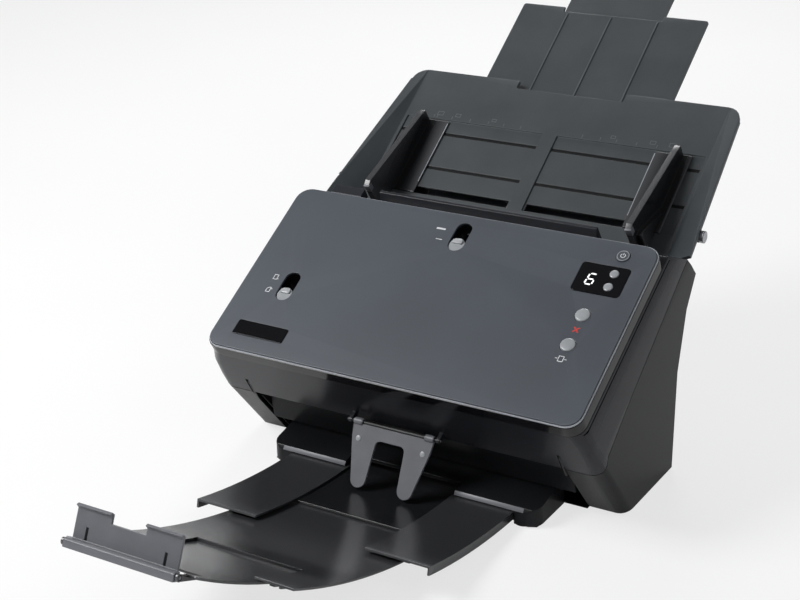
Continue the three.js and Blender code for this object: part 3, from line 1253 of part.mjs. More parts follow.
// Side guides: a flange on the field, an upright wall that grows towards the body,
// a foot through the slit and a toothed rack under the floor
const guideFlangeInner = 18.5;
const guideFlangeOuter = 12;
const guideWallThickness = 5;
const guideWallFar = guideWallNear + guideWallThickness;
const guideFlangeThickness = 1.4;
const guideWallTop = 34;
const guideWallBack = 12;
const guideFootU = -149;
const guideHeadU = -52;
const guideCapU = -144;
const gussetHeadU = -100;
const gussetTopU = -140;
const gussetTop = 20;
const gussetWidth = 4;
const guideFootWidth = 6;
const guideFootFar = guideFootNear + guideFootWidth;
const rackTop = -3.4;
const rackLow = -6.4;
const rackWidth = 3.4;
const rackSplit = -5.1;
const toothModule = 1;
const pinionTeeth = 16;
const toothHeightShares = { above: 0.75, below: 1.05 };
const toothRootShare = 0.3;
const toothTipShare = 0.14;
const pinionU = -106.6;
const rackReach = 14;
const toothPitch = Math.PI * toothModule;
const pinionRadius = toothModule * pinionTeeth / 2;
bothSides((side, sign) => {
  const flangeLow = -fieldDepth + gap;
  const flange = block(...spanned(sign, guideWallNear - guideFlangeInner, guideWallNear + guideFlangeOuter),
    fieldLow + gap, guideHeadU, flangeLow, flangeLow + guideFlangeThickness);
  const wallOutline = [[guideHeadU, flangeLow], [guideHeadU, guideWallBack],
    [guideHeadU - wall * 3, guideWallBack + wall],
    [guideCapU, guideWallTop], [guideFootU, guideWallTop - wall], [guideFootU, gap * 3],
    [fieldLow + gap, gap * 3], [fieldLow + gap, flangeLow]];
  const wallSide = across(wallOutline, ...spanned(sign, guideWallNear, guideWallFar));
  const gussetOutline = [[gussetHeadU, flangeLow + guideFlangeThickness / 2], [gussetTopU, gussetTop],
    [guideCapU, gussetTop], [guideCapU, gap * 3], [fieldLow + gap, gap * 3],
    [fieldLow + gap, flangeLow + guideFlangeThickness / 2]];
  const gusset = across(gussetOutline, ...spanned(sign, guideWallFar - wall / 2,
    guideWallFar + gussetWidth));
  // The left rack runs behind the pinion and the right one in front of it, above the left one's web
  const rackSide = -sign;
  const footLow = sign < 0 ? rackLow : rackSplit + gap / 2;
  const webTop = sign < 0 ? rackSplit - gap / 2 : rackTop;
  const foot = block(...spanned(sign, guideFootNear, guideFootFar), slitLow + gap, slitTop - gap,
    footLow, flangeLow + guideFlangeThickness / 2);
  const pitchLine = pinionU + rackSide * pinionRadius;
  const back = pitchLine + rackSide * rackWidth;
  const count = Math.floor((guideFootFar + rackReach) / toothPitch);
  const endX = sign * guideFootFar;
  const startX = endX - sign * count * toothPitch;
  const tipLine = pitchLine - rackSide * toothModule * toothHeightShares.above;
  const rootLine = pitchLine + rackSide * toothModule * toothHeightShares.below;
  const teeth = [];
  const firstTooth = Math.ceil(Math.min(startX, endX) / toothPitch) + 1;
  const lastTooth = Math.floor(Math.max(startX, endX) / toothPitch) - 1;
  for (let tooth = firstTooth; tooth <= lastTooth; tooth += 1) {
    const x = tooth * toothPitch;
    teeth.push([x - toothPitch * toothRootShare, rootLine], [x - toothPitch * toothTipShare, tipLine],
      [x + toothPitch * toothTipShare, tipLine], [x + toothPitch * toothRootShare, rootLine]);
  }
  const low = Math.min(startX, endX);
  const high = Math.max(startX, endX);
  const rack = upright([[low, back], [low, rootLine], ...teeth, [high, rootLine], [high, back]],
    footLow, rackTop);
  const web = block(...spanned(sign, guideFootNear, guideFootFar), slitLow + gap, Math.max(back, rootLine),
    footLow, webTop);
  put(pathFrame, `side_guide_${side}`, join(flange, wallSide, gusset, foot, web, rack),
    finishOf(colours.gloss, 0.2, 0));
});

// Guide pinion between the racks, on a post under the tray floor
{
  const ring = [];
  const tipRadius = pinionRadius + toothModule * toothHeightShares.above;
  const rootRadius = pinionRadius - toothModule * toothHeightShares.below;
  for (let tooth = 0; tooth < pinionTeeth; tooth += 1) {
    const middle = 90 + 360 / pinionTeeth * (tooth + 0.5);
    const step = 360 / pinionTeeth;
    [[-toothRootShare, rootRadius], [-toothTipShare, tipRadius], [toothTipShare, tipRadius],
      [toothRootShare, rootRadius]].forEach(([share, radius]) => {
      const angle = radians(middle + share * step);
      ring.push([radius * Math.cos(angle), pinionU + radius * Math.sin(angle)]);
    });
  }
  const hub = upright(circle(0, pinionU, shaftRadius + wall / 2, shaftSteps), rackLow,
    -floorThickness - gap);
  const wheel = join(upright(ring, rackLow, rackTop), hub);
  put(pathFrame, 'guide_pinion', wheel, finishOf(colours.button, 0.5, 0));
}

// Tray extensions
const extensionRibLeft = -40;
const extensionRibRight = 42;
const ribHeight = 0.8;
const ribHalf = 0.8;
const extensionNotch = 45;
const extensionNotchDepth = 5;
{
  const bottom = extensionTop - extensionThickness;
  const sheet = upright(rounded(-extensionHalfWidth, extensionHalfWidth, extensionFoot, extensionHead,
    wall),
    bottom, extensionTop);
  const ribs = [extensionRibLeft, 0, extensionRibRight].map((x) => block(x - ribHalf, x + ribHalf,
    extensionFoot + wall,
    extensionHead - extensionNotchDepth - wall, extensionTop - ribHeight / 2, extensionTop + ribHeight));
  const notch = block(-extensionNotch, extensionNotch, extensionHead - extensionNotchDepth,
    extensionHead + overrun,
    -overrun, overrun);
  const railNear = secondHalfWidth + railGap;
  const hookHigh = bottom - gap - secondThickness - gap;
  const rails = [-1, 1].flatMap((sign) => [
    block(...spanned(sign, railNear, railNear + railThickness), extensionFoot + wall, extensionHead - wall,
      hookHigh - hookThickness, bottom + wall / 2),
    block(...spanned(sign, railNear - hookReach, railNear + railThickness), extensionFoot + wall,
    extensionHead - wall,
      hookHigh - hookThickness, hookHigh)]);
  put(pathFrame, 'tray_extension_1', join(cut(sheet, notch), ...ribs, ...rails), trayFinish);
  put(pathFrame, 'tray_extension_2', upright(rounded(-secondHalfWidth, secondHalfWidth, secondFoot,
    secondHead,
    trayCorner / 2), bottom - gap - secondThickness, bottom - gap), trayFinish);
}

// The origin is the middle of the whole object's footprint, on the ground
object.updateMatrixWorld(true);
const extent = new THREE.Box3().setFromObject(object, true);
const centre = extent.getCenter(new THREE.Vector3());
const scanner = new THREE.Group();
scanner.position.y = -centre.y;
scanner.add(object);

export default scanner;
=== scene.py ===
import json
import math
import bmesh
import bpy
from mathutils import Matrix, Vector


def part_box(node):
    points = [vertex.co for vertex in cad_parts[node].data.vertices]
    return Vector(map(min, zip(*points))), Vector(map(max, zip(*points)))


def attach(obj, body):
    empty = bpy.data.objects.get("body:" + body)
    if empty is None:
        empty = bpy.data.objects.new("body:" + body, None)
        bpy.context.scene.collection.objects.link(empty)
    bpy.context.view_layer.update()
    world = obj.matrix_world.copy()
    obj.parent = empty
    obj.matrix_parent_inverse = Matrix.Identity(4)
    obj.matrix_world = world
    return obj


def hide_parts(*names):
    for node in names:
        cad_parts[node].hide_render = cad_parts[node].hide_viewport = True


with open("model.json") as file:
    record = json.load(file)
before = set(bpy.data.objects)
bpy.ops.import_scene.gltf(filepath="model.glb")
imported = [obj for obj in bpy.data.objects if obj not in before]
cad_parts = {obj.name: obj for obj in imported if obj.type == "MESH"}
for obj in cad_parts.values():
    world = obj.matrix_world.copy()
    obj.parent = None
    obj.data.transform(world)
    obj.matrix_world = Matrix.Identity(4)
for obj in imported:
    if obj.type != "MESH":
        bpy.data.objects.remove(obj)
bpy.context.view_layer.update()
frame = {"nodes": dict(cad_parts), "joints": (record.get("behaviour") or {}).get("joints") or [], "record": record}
print("frame loaded:", len(frame["nodes"]), "nodes")

mm = 0.001
bodyOf = {node: body for body, nodes in frame["record"]["behaviour"]["bodies"].items() for node in nodes}
slotOf = {entry["node"]: entry["material_slot"] for entry in frame["record"]["subparts"]}
jointOf = {joint["name"]: joint for joint in frame["joints"]}


def hexToLinear(code):
    shares = [int(code[i:i + 2], 16) / 255 for i in (1, 3, 5)]
    return [c / 12.92 if c <= 0.04045 else ((c + 0.055) / 1.055) ** 2.4 for c in shares] + [1.0]


def addNode(tree, kind, settings=None, links=None):
    # a socket goes by its name, or by its number where a node has several of one name
    node = tree.nodes.new(kind)
    for name, value in (settings or {}).items():
        if isinstance(name, int) or name in node.inputs:
            node.inputs[name].default_value = value
        else:
            setattr(node, name, value)
    for name, source in (links or {}).items():
        tree.links.new(source, node.inputs[name])
    return node


def fillRamp(ramp, stops):
    # a new ramp has two stops, and none here needs more
    for stop, (place, colour) in zip(ramp.elements, stops):
        stop.position = place
        stop.color = colour


def newMaterial(name):
    material = bpy.data.materials.new(name)
    material.use_nodes = True
    tree = material.node_tree
    tree.nodes.clear()
    output = addNode(tree, "ShaderNodeOutputMaterial")
    place = addNode(tree, "ShaderNodeTexCoord").outputs["Object"]
    return material, tree, output, place


noiseLow, noiseHigh = 0.3, 0.7  # a noise texture's values lie mostly between these


def mouldedPlastic(look):
    # Injection-moulded ABS: the colour drifts slightly with the flow of the melt, the spark-eroded
    # grain breaks up the gloss, and the corners are painted lighter, partly as rubbed wear and partly as
    # a painted highlight where a small radius catches the light. Rubber, coated steel and solder resist
    # take the same nodes with values of their own.
    look = {"ior": 1.53, "specular": 0.5, **look}
    material, tree, output, place = newMaterial(look["name"])
    flow = addNode(tree, "ShaderNodeTexNoise",
                   {"Scale": 1 / (look["flowMm"] * mm), "Detail": 3.0, "Roughness": 0.55}, {"Vector": place})
    tint = addNode(tree, "ShaderNodeValToRGB", links={"Fac": flow.outputs["Fac"]})
    fillRamp(tint.color_ramp, [(noiseLow, hexToLinear(look["deep"])), (noiseHigh, hexToLinear(look["pale"]))])
    # pointiness is 0.5 on a flat face and rises on an outer corner
    wornAndLit = addNode(tree, "ShaderNodeMapRange", {"From Min": 0.52, "From Max": 0.62, "To Max": look["wearAndHighlight"]},
                   {"Value": addNode(tree, "ShaderNodeNewGeometry").outputs["Pointiness"]})
    # painted highlight and rubbed wear: the edge colour is mixed in on outer corners
    colour = addNode(tree, "ShaderNodeMix", {"data_type": "RGBA", "B": hexToLinear(look["edge"])},
                     {"Factor": wornAndLit.outputs["Result"], "A": tint.outputs["Color"]})
    # the grain is drawn about as coarse as a picture shows it, the real one is near 0.1 mm
    grain = addNode(tree, "ShaderNodeTexNoise", {"Scale": 1 / (look["grainMm"] * mm), "Detail": 2.0},
                    {"Vector": place})
    sheen = addNode(tree, "ShaderNodeMapRange",
                    {"From Min": noiseLow, "From Max": noiseHigh,
                     "To Min": look["roughness"] - look["spread"],
                     "To Max": look["roughness"] + look["spread"]}, {"Value": grain.outputs["Fac"]})
    relief = addNode(tree, "ShaderNodeBump", {"Strength": look["relief"], "Distance": 0.02 * mm},
                     {"Height": grain.outputs["Fac"]})
    shader = addNode(tree, "ShaderNodeBsdfPrincipled",
                     {"IOR": look["ior"], "Specular IOR Level": look["specular"]},
                     {"Base Color": colour.outputs["Result"], "Roughness": sheen.outputs["Result"],
                      "Normal": relief.outputs["Normal"]})
    tree.links.new(shader.outputs["BSDF"], output.inputs["Surface"])
    return material


def rolledSteel(look):
    # Rolled, drawn or plated steel: fine lines along the working direction stretch the highlights.
    material, tree, output, place = newMaterial(look["name"])
    lengthwise, crosswise = 1 / (look["lineLengthMm"] * mm), 1 / (look["lineMm"] * mm)
    along = addNode(tree, "ShaderNodeMapping", {"Scale": (lengthwise, crosswise, crosswise)},
                    {"Vector": place})
    lines = addNode(tree, "ShaderNodeTexNoise", {"Scale": 1.0, "Detail": 4.0},
                    {"Vector": along.outputs["Vector"]})
    tint = addNode(tree, "ShaderNodeValToRGB", links={"Fac": lines.outputs["Fac"]})
    fillRamp(tint.color_ramp, [(noiseLow, hexToLinear(look["deep"])), (noiseHigh, hexToLinear(look["pale"]))])
    gloss = addNode(tree, "ShaderNodeMapRange",
                    {"To Min": look["roughness"] - look["spread"],
                     "To Max": look["roughness"] + look["spread"]}, {"Value": lines.outputs["Fac"]})
    relief = addNode(tree, "ShaderNodeBump", {"Strength": look["relief"], "Distance": 0.01 * mm},
                     {"Height": lines.outputs["Fac"]})
    shader = addNode(tree, "ShaderNodeBsdfPrincipled", {"Metallic": 1.0},
                     {"Base Color": tint.outputs["Color"], "Roughness": gloss.outputs["Result"],
                      "Normal": relief.outputs["Normal"]})
    tree.links.new(shader.outputs["BSDF"], output.inputs["Surface"])
    return material


def floatGlass(look):
    # Float glass over the line sensor: nearly black from outside, with a clean reflection that a
    # little dust dulls in places.
    material, tree, output, place = newMaterial(look["name"])
    dust = addNode(tree, "ShaderNodeTexNoise", {"Scale": 1 / (look["dustMm"] * mm), "Detail": 5.0},
                   {"Vector": place})
    haze = addNode(tree, "ShaderNodeMapRange",
                   {"From Min": 0.55, "From Max": 0.8, "To Min": look["clean"], "To Max": look["dusty"]},
                   {"Value": dust.outputs["Fac"]})
    shader = addNode(tree, "ShaderNodeBsdfPrincipled",
                     {"Base Color": hexToLinear(look["colour"]), "IOR": look["ior"],
                      "Transmission Weight": look["clear"]}, {"Roughness": haze.outputs["Result"]})
    tree.links.new(shader.outputs["BSDF"], output.inputs["Surface"])
    return material


ink = {"coverMm": 0.6, "thinShare": 0.86, "thinBelow": 0.25, "fullAbove": 0.6, "roughness": 0.55, "ior": 1.48,
       "film": 0.06, "lift": 0.01}


def printedInk(name, colour, glow=0.0):
    # Screen-printed ink: a matt film that covers slightly unevenly.
    material, tree, output, place = newMaterial(name)
    cover = addNode(tree, "ShaderNodeTexNoise", {"Scale": 1 / (ink["coverMm"] * mm), "Detail": 2.0},
                    {"Vector": place})
    full = hexToLinear(colour)
    thin = [c * ink["thinShare"] for c in full[:3]] + [1.0]
    tint = addNode(tree, "ShaderNodeValToRGB", links={"Fac": cover.outputs["Fac"]})
    fillRamp(tint.color_ramp, [(ink["thinBelow"], thin), (ink["fullAbove"], full)])
    shader = addNode(tree, "ShaderNodeBsdfPrincipled",
                     {"Roughness": ink["roughness"], "IOR": ink["ior"], "Emission Strength": glow},
                     {"Base Color": tint.outputs["Color"]})
    if glow:
        tree.links.new(tint.outputs["Color"], shader.inputs["Emission Color"])
    tree.links.new(shader.outputs["BSDF"], output.inputs["Surface"])
    return material


# one finish for each slot of the record: deep and pale are the ends of its colour drift, edge is the
# colour painted on the corners, part rubbed wear and part painted highlight, and the share after it
# how much of it shows
plasticLooks = {
    # dark casings from a finely sparked tool, with a soft sheen only
    "casing_black": {"name": "sparked_black_abs", "deep": "#131416", "pale": "#191a1c", "edge": "#3a3b3e",
                     "wearAndHighlight": 0.35, "flowMm": 60, "grainMm": 0.8, "roughness": 0.3, "spread": 0.03,
                     "relief": 0.12, "specular": 0.16},
    # cover round the panel, from a finer tool, so that it reflects more clearly
    "shell_dark": {"name": "fine_dark_grey_abs", "deep": "#222327", "pale": "#28292d", "edge": "#4c4d52",
                   "wearAndHighlight": 0.35, "flowMm": 70, "grainMm": 0.9, "roughness": 0.24, "spread": 0.02,
                   "relief": 0.06, "specular": 0.26},
    # slate-coloured plate with a satin face, which spreads the key light widely
    "panel_satin": {"name": "satin_slate_abs", "deep": "#41464d", "pale": "#464c55", "edge": "#8d9299",
                    "wearAndHighlight": 0.5, "flowMm": 90, "grainMm": 0.8, "roughness": 0.42, "spread": 0.04,
                    "relief": 0.2},
    # rim, label plate and display from a mirror-polished tool, with sharp reflections
    "gloss_black": {"name": "mirror_black_abs", "deep": "#0c0c0e", "pale": "#101013", "edge": "#2a2a2e",
                    "wearAndHighlight": 0.2, "flowMm": 40, "grainMm": 1.2, "roughness": 0.09, "spread": 0.015,
                    "relief": 0.02, "specular": 0.34},
    # paper tray with a coarse spark grain, which leaves it nearly matt
    "tray_charcoal": {"name": "grained_charcoal_abs", "deep": "#33383b", "pale": "#3b4043", "edge": "#6c7275",
                      "wearAndHighlight": 0.5, "flowMm": 35, "grainMm": 0.9, "roughness": 0.48, "spread": 0.05,
                      "relief": 0.5},
    # output stages and guides, smooth, with edges painted much lighter, a painted highlight for
    # the lines of light along them
    "stage_black": {"name": "smooth_black_abs", "deep": "#17181a", "pale": "#1c1d1f", "edge": "#8e8f92",
                    "wearAndHighlight": 0.6, "flowMm": 30, "grainMm": 0.9, "roughness": 0.24, "spread": 0.03,
                    "relief": 0.04},
    # flap, stop and trim, grey right through, with a soft sheen
    "mid_grey": {"name": "sparked_grey_abs", "deep": "#626368", "pale": "#6c6d72", "edge": "#85868b",
                 "wearAndHighlight": 0.4, "flowMm": 20, "grainMm": 0.7, "roughness": 0.4, "spread": 0.04, "relief": 0.2},
    # keys and switches, pale and smooth, each with a small highlight
    "button_grey": {"name": "smooth_pale_grey_abs", "deep": "#94979a", "pale": "#a1a4a7", "edge": "#c2c4c6",
                    "wearAndHighlight": 0.4, "flowMm": 10, "grainMm": 0.6, "roughness": 0.3, "spread": 0.03,
                    "relief": 0.08},
    # moulded rubber of the rollers, feet and belt: matt and a little coarse
    "rubber_black": {"name": "moulded_black_rubber", "deep": "#1b1b1b", "pale": "#232322", "edge": "#3a3a38",
                     "wearAndHighlight": 0.5, "flowMm": 8, "grainMm": 0.5, "roughness": 0.75, "spread": 0.08,
                     "relief": 0.6, "ior": 1.5},
    # solder resist on a glass-fibre board: green with a dull gloss, a little uneven in depth
    "board_green": {"name": "green_solder_resist", "deep": "#0f3d28", "pale": "#15502f", "edge": "#6f7f58",
                    "wearAndHighlight": 0.3, "flowMm": 5, "grainMm": 0.7, "roughness": 0.34, "spread": 0.05,
                    "relief": 0.3},
    # coated sheet steel: what shows is the coat, a dull black plastic film
    "plate_black": {"name": "black_coated_steel", "deep": "#141517", "pale": "#1b1c1e", "edge": "#4a4b4d",
                    "wearAndHighlight": 0.5, "flowMm": 25, "grainMm": 0.7, "roughness": 0.42, "spread": 0.05,
                    "relief": 0.15, "ior": 1.5},
}
steelLooks = {
    # data socket, studs and pulley: pale, with long fine streaks
    "steel": {"name": "plated_steel", "deep": "#a9abae", "pale": "#c3c5c8", "roughness": 0.32, "spread": 0.08,
              "relief": 0.3, "lineMm": 0.35, "lineLengthMm": 14},
    # motor case: a little darker and duller, with shorter streaks
    "motor_can": {"name": "drawn_steel", "deep": "#8f9295", "pale": "#a7a9ac", "roughness": 0.4,
                  "spread": 0.08, "relief": 0.3, "lineMm": 0.5, "lineLengthMm": 6},
}
finishes = {slot: mouldedPlastic(look) for slot, look in plasticLooks.items()}
finishes.update({slot: rolledSteel(look) for slot, look in steelLooks.items()})
finishes["sensor_glass"] = floatGlass({"name": "float_glass", "colour": "#16191c", "ior": 1.52, "clear": 0.35,
                                       "dustMm": 3.0, "clean": 0.03, "dusty": 0.14})
# painted highlight: pale silver-toned trim that stands for thin lines of light on bevels and edges,
# smooth enough to catch a thin line of light itself
paintedHighlightTrim = mouldedPlastic({"name": "painted_highlight_silver_abs", "deep": "#8b8f96", "pale": "#a2a6ac",
                             "edge": "#c4c7cb", "wearAndHighlight": 0.4, "flowMm": 40, "grainMm": 1.0, "roughness": 0.25,
                             "spread": 0.03, "relief": 0.03})
# painted shade: near-black plastic put in grooves, slits and slots where there is only shadow,
# with hardly any wear or gloss, so that it reads as a shadow
grooveShade = mouldedPlastic({"name": "painted_shade_black_abs", "deep": "#0b0c0d", "pale": "#101112",
                              "edge": "#17181a", "wearAndHighlight": 0.1, "flowMm": 25, "grainMm": 0.8, "roughness": 0.6,
                              "spread": 0.05, "relief": 0.1, "specular": 0.2})
whiteInk = printedInk("white_ink", "#dcdee0")
greyInk = printedInk("grey_ink", "#9a9fa2")
faintInk = printedInk("faint_ink", "#646a6d")
redInk = printedInk("red_ink", "#c8372d")
litSegment = printedInk("lit_segment", "#f2f4f4", 0.8)
print("finishes made:", len(bpy.data.materials))

smoothAngle = 35  # degrees, edges that turn less than this are shaded smooth


def joinCollection(item):
    bpy.context.scene.collection.objects.link(item)
    return item


def finishMesh(work, name, material, smoothBelow=smoothAngle):
    mesh = bpy.data.meshes.new(name)
    work.to_mesh(mesh)
    work.free()
    mesh.materials.append(material)
    mesh.polygons.foreach_set("use_smooth", [True] * len(mesh.polygons))
    mesh.set_sharp_from_angle(angle=math.radians(smoothBelow))
    return joinCollection(bpy.data.objects.new(name, mesh))


def addSolid(name, work, material, body, smoothBelow=smoothAngle):
    piece = finishMesh(work, name, material, smoothBelow)
    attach(piece, body)


def spanOf(work):
    return [(min(v.co[i] for v in work.verts), max(v.co[i] for v in work.verts)) for i in range(3)]


# lengths in mm and angles in degrees
rounding = {"weld": 0.002, "flatBelow": 0.5, "roundAbove": 30, "steps": 2, "mostGrowth": 0.02,
            "smallest": 0.05}


def roundedCopy(source, edge):
    # the solid's faces without the seams of its triangles, then every sharp corner rounded
    mesh = frame["nodes"][source].data
    work = bmesh.new()
    corners = [work.verts.new(v.co) for v in mesh.vertices]
    for face in mesh.polygons:
        try:
            work.faces.new([corners[i] for i in face.vertices])
        except ValueError:  # a face that is there already
            pass
    bmesh.ops.remove_doubles(work, verts=work.verts, dist=rounding["weld"] * mm)
    bmesh.ops.dissolve_limit(work, angle_limit=math.radians(rounding["flatBelow"]), verts=work.verts,
                             edges=work.edges)
    bmesh.ops.triangulate(work, faces=[f for f in work.faces if len(f.verts) > 4], ngon_method="BEAUTY")
    before = spanOf(work)
    sharp = [e for e in work.edges
             if len(e.link_faces) == 2 and e.calc_face_angle(0) > math.radians(rounding["roundAbove"])]
    bmesh.ops.bevel(work, geom=sharp, offset=edge * mm, offset_type="OFFSET", segments=rounding["steps"],
                    profile=0.5, affect="EDGES", clamp_overlap=False, loop_slide=False)
    after = spanOf(work)
    growth = max(max(b[0] - a[0], a[1] - b[1]) for a, b in zip(after, before))
    return work, growth


roundedNodes = {  # radius in mm of each solid's edges
    "cover_shell": 0.7, "panel_plate": 0.35, "panel_rim": 0.5, "label_plate": 0.15, "display_window": 0.25,
    "side_casing_left": 0.7, "side_casing_right": 0.7, "rear_cover": 0.5, "bottom_pan": 0.5,
    "output_deck": 0.5, "release_latch": 0.5, "upper_guide": 0.3, "lower_guide": 0.3, "tray_floor": 0.5,
    "tray_back": 0.3, "side_guide_left": 0.5, "side_guide_right": 0.5, "tray_extension_1": 0.45,
    "tray_extension_2": 0.45, "output_stage_1": 0.4, "output_stage_2": 0.4, "output_stage_3": 0.4,
    "paper_stop": 0.35, "paper_flap": 0.3, "power_button": 0.5, "up_button": 0.4, "down_button": 0.4,
    "cancel_button": 0.6, "scan_button": 0.6, "size_switch": 0.25, "mode_switch": 0.25, "dc_jack": 0.3,
    "usb_socket": 0.15, "tray_stud_left": 0.4, "tray_stud_right": 0.4, "flap_rod": 0.2, "separator_arm": 0.3,
    "rear_drive_roller": 0.3, "front_drive_roller": 0.3, "feed_roller": 0.3, "rear_pinch_roller": 0.3,
    "front_pinch_roller": 0.3, "motor": 0.5, "motor_pulley": 0.2, "guide_pinion": 0.15, "drive_belt": 0.2,
    "back_foot_left": 0.3, "back_foot_right": 0.3, "front_foot_left": 0.2, "front_foot_right": 0.2,
    "upper_scan_unit": 0.4, "lower_scan_unit": 0.4, "frame_plate_left": 0.2, "frame_plate_right": 0.2,
    "upper_scan_glass": 0.15, "lower_scan_glass": 0.15, "main_board": 0.15, "control_board": 0.15,
}
for name, edge in roundedNodes.items():
    work, growth = roundedCopy(name, edge)
    # a corner too tight for its radius bulges, and the solid gets a smaller one
    while growth > rounding["mostGrowth"] * mm and edge > rounding["smallest"]:
        work.free()
        edge /= 2
        work, growth = roundedCopy(name, edge)
    piece = finishMesh(work, name + "_moulded", finishes[slotOf[name]])
    weight = piece.modifiers.new("flat faces stay flat", "WEIGHTED_NORMAL")
    weight.keep_sharp = True
    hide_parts(name)
    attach(piece, bodyOf[name])
    if edge != roundedNodes[name]:
        print("  smaller edge on", name, edge, "growth", round(growth / mm, 3))
print("solids rounded:", len(roundedNodes))


def surface(start, along, out):
    # gives the function that places a point of a tilted face, in mm across, along and out of it
    def place(x, y, rise):
        return start + Vector((x * mm, 0, 0)) + along * y * mm + out * rise * mm
    return place


panelAlong = Vector(jointOf["size_slide"]["axis"])
panelOut = -Vector(jointOf["scan_press"]["axis"])
panelLow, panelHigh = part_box("panel_plate")
# the box spans the plate's length and thickness, both tilted, and its two spans give the length
spanY, spanZ = panelHigh.y - panelLow.y, panelHigh.z - panelLow.z
cosTwiceTilt = panelAlong.y ** 2 - panelAlong.z ** 2
panelLength = (spanY * panelAlong.y - spanZ * panelAlong.z) / cosTwiceTilt
panelStart = Vector((0, panelLow.y, panelHigh.z - panelLength * panelAlong.z))
onPanel = surface(panelStart, panelAlong, panelOut)
print("panel length mm", round(panelLength / mm, 2))

trayThickness = 3.0
trayAlong = Vector(jointOf["tray_lift"]["axis"])
trayOut = Vector((0, -trayAlong.z, trayAlong.y))
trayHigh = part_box("tray_floor")[1]
trayHead = Vector((0, trayHigh.y - trayThickness * mm * trayAlong.z, trayHigh.z))
onTray = surface(trayHead, trayAlong, trayOut)


def bar(x0, y0, x1, y1, width):
    side = Vector((y0 - y1, x1 - x0)).normalized() * width / 2
    return [(x0 - side.x, y0 - side.y), (x1 - side.x, y1 - side.y), (x1 + side.x, y1 + side.y),
            (x0 + side.x, y0 + side.y)]


def frameBars(x, y, width, height, line):
    half = line / 2
    left, right, low, high = x - width / 2, x + width / 2, y - height / 2, y + height / 2
    return [bar(left - half, low, right + half, low, line), bar(left - half, high, right + half, high, line),
            bar(left, low + half, left, high - half, line), bar(right, low + half, right, high - half, line)]


def arcBand(x, y, inner, outer, start, end, steps):
    turns = [math.radians(start + (end - start) * i / steps) for i in range(steps + 1)]
    return ([(x + outer * math.cos(t), y + outer * math.sin(t)) for t in turns]
            + [(x + inner * math.cos(t), y + inner * math.sin(t)) for t in reversed(turns)])


def printOn(name, outlines, place, out, material, body):
    # ink as a thin film on a face, one outline after the other
    work = bmesh.new()
    for outline in outlines:
        area = sum(a[0] * b[1] - b[0] * a[1] for a, b in zip(outline, outline[1:] + outline[:1]))
        points = outline if area > 0 else outline[::-1]
        low = [work.verts.new(place(x, y, out)) for x, y in points]
        high = [work.verts.new(place(x, y, out + ink["film"])) for x, y in points]
        work.faces.new(low[::-1])
        work.faces.new(high)
        for i in range(len(points)):
            j = (i + 1) % len(points)
            work.faces.new((low[i], low[j], high[j], high[i]))
    addSolid(name, work, material, body)


def drawMark(mark):
    # a frame's size, each stroke's two ends and a filled shape's corners are in mm from the mark's middle
    x, y = mark["at"]
    outlines = frameBars(x, y, *mark["frame"], mark["line"]) if "frame" in mark else []
    for x0, y0, x1, y1 in mark.get("strokes", ()):
        outlines.append(bar(x + x0, y + y0, x + x1, y + y1, mark["line"]))
    if "filled" in mark:
        outlines.append([(x + across, y + upward) for across, upward in mark["filled"]])
    return outlines


# pictograms printed white on the panel, and the cross in red
panelMarks = {
    "flatPage": {"at": (-127.0, 69.1), "line": 0.55, "frame": (3.2, 4.2),
                 "strokes": [(1.9, -1.5, 3.2, -1.5)]},
    "foldedPage": {"at": (-127.0, 56.7), "line": 0.55,
                   "strokes": [(-1.9, -2.1, 1.9, -2.1), (-1.6, -1.8, -1.6, 0.6), (1.6, -1.8, 1.6, 2.4),
                               (1.3, 2.1, 0, 2.1), (-1.75, 0.4, 0.1, 2.2), (1.9, 1.0, 3.2, 1.0)]},
    "upperBar": {"at": (-18.0, 141.4), "line": 1.5, "strokes": [(-3.75, 0, 3.75, 0)]},
    "lowerBar": {"at": (-15.6, 131.5), "line": 0.6, "strokes": [(-2.25, 0, 3.0, 0)]},
    "up": {"at": (135.5, 128.2), "filled": [(-1.3, -1.3), (1.3, -1.3), (0, 1.3)]},
    "down": {"at": (135.9, 115.5), "filled": [(-1.3, 1.3), (1.3, 1.3), (0, -1.3)]},
    "scan": {"at": (119.5, 50.5), "line": 0.55, "frame": (3.6, 4.4),
             "strokes": [(-4.4, 0, -2.6, 0), (2.6, 0, 4.4, 0)]},
}
cross = {"at": (120.1, 76.3), "line": 1.1,
         "strokes": [(-2.1, -2.1, 2.1, 2.1), (-2.1, 2.1, -0.4, 0.4), (0.4, -0.4, 2.1, -2.1)]}
printOn("panel_marks", [outline for mark in panelMarks.values() for outline in drawMark(mark)], onPanel,
        ink["lift"], whiteInk, "cover")
printOn("cancel_mark", drawMark(cross), onPanel, ink["lift"], redInk, "cover")

# lit digit of the display, leaning to the right
digit = {"foot": (109.4, 116.1), "width": 5.4, "height": 9.6, "line": 1.15, "lean": 0.12, "cornerShare": 0.62,
         "out": 0.1, "lit": ("top", "middle", "bottom", "upperLeft", "lowerLeft", "lowerRight")}


def sevenSegments(digit):
    # the ends of each segment, in shares of the digit's width and height
    ends = {"top": ((0, 1), (1, 1)), "middle": ((0, 0.5), (1, 0.5)), "bottom": ((0, 0), (1, 0)),
            "upperLeft": ((0, 0.5), (0, 1)), "upperRight": ((1, 0.5), (1, 1)),
            "lowerLeft": ((0, 0), (0, 0.5)), "lowerRight": ((1, 0), (1, 0.5))}
    footX, footY = digit["foot"]
    outlines = []
    for segment in digit["lit"]:
        a, b = (Vector((footX + across * digit["width"] + upward * digit["height"] * digit["lean"],
                        footY + upward * digit["height"])) for across, upward in ends[segment])
        step = (b - a).normalized() * digit["line"] * digit["cornerShare"]
        a, b = a + step, b - step
        outlines.append(bar(a.x, a.y, b.x, b.y, digit["line"]))
    return outlines


printOn("display_digit", sevenSegments(digit), onPanel, digit["out"], litSegment, "cover")

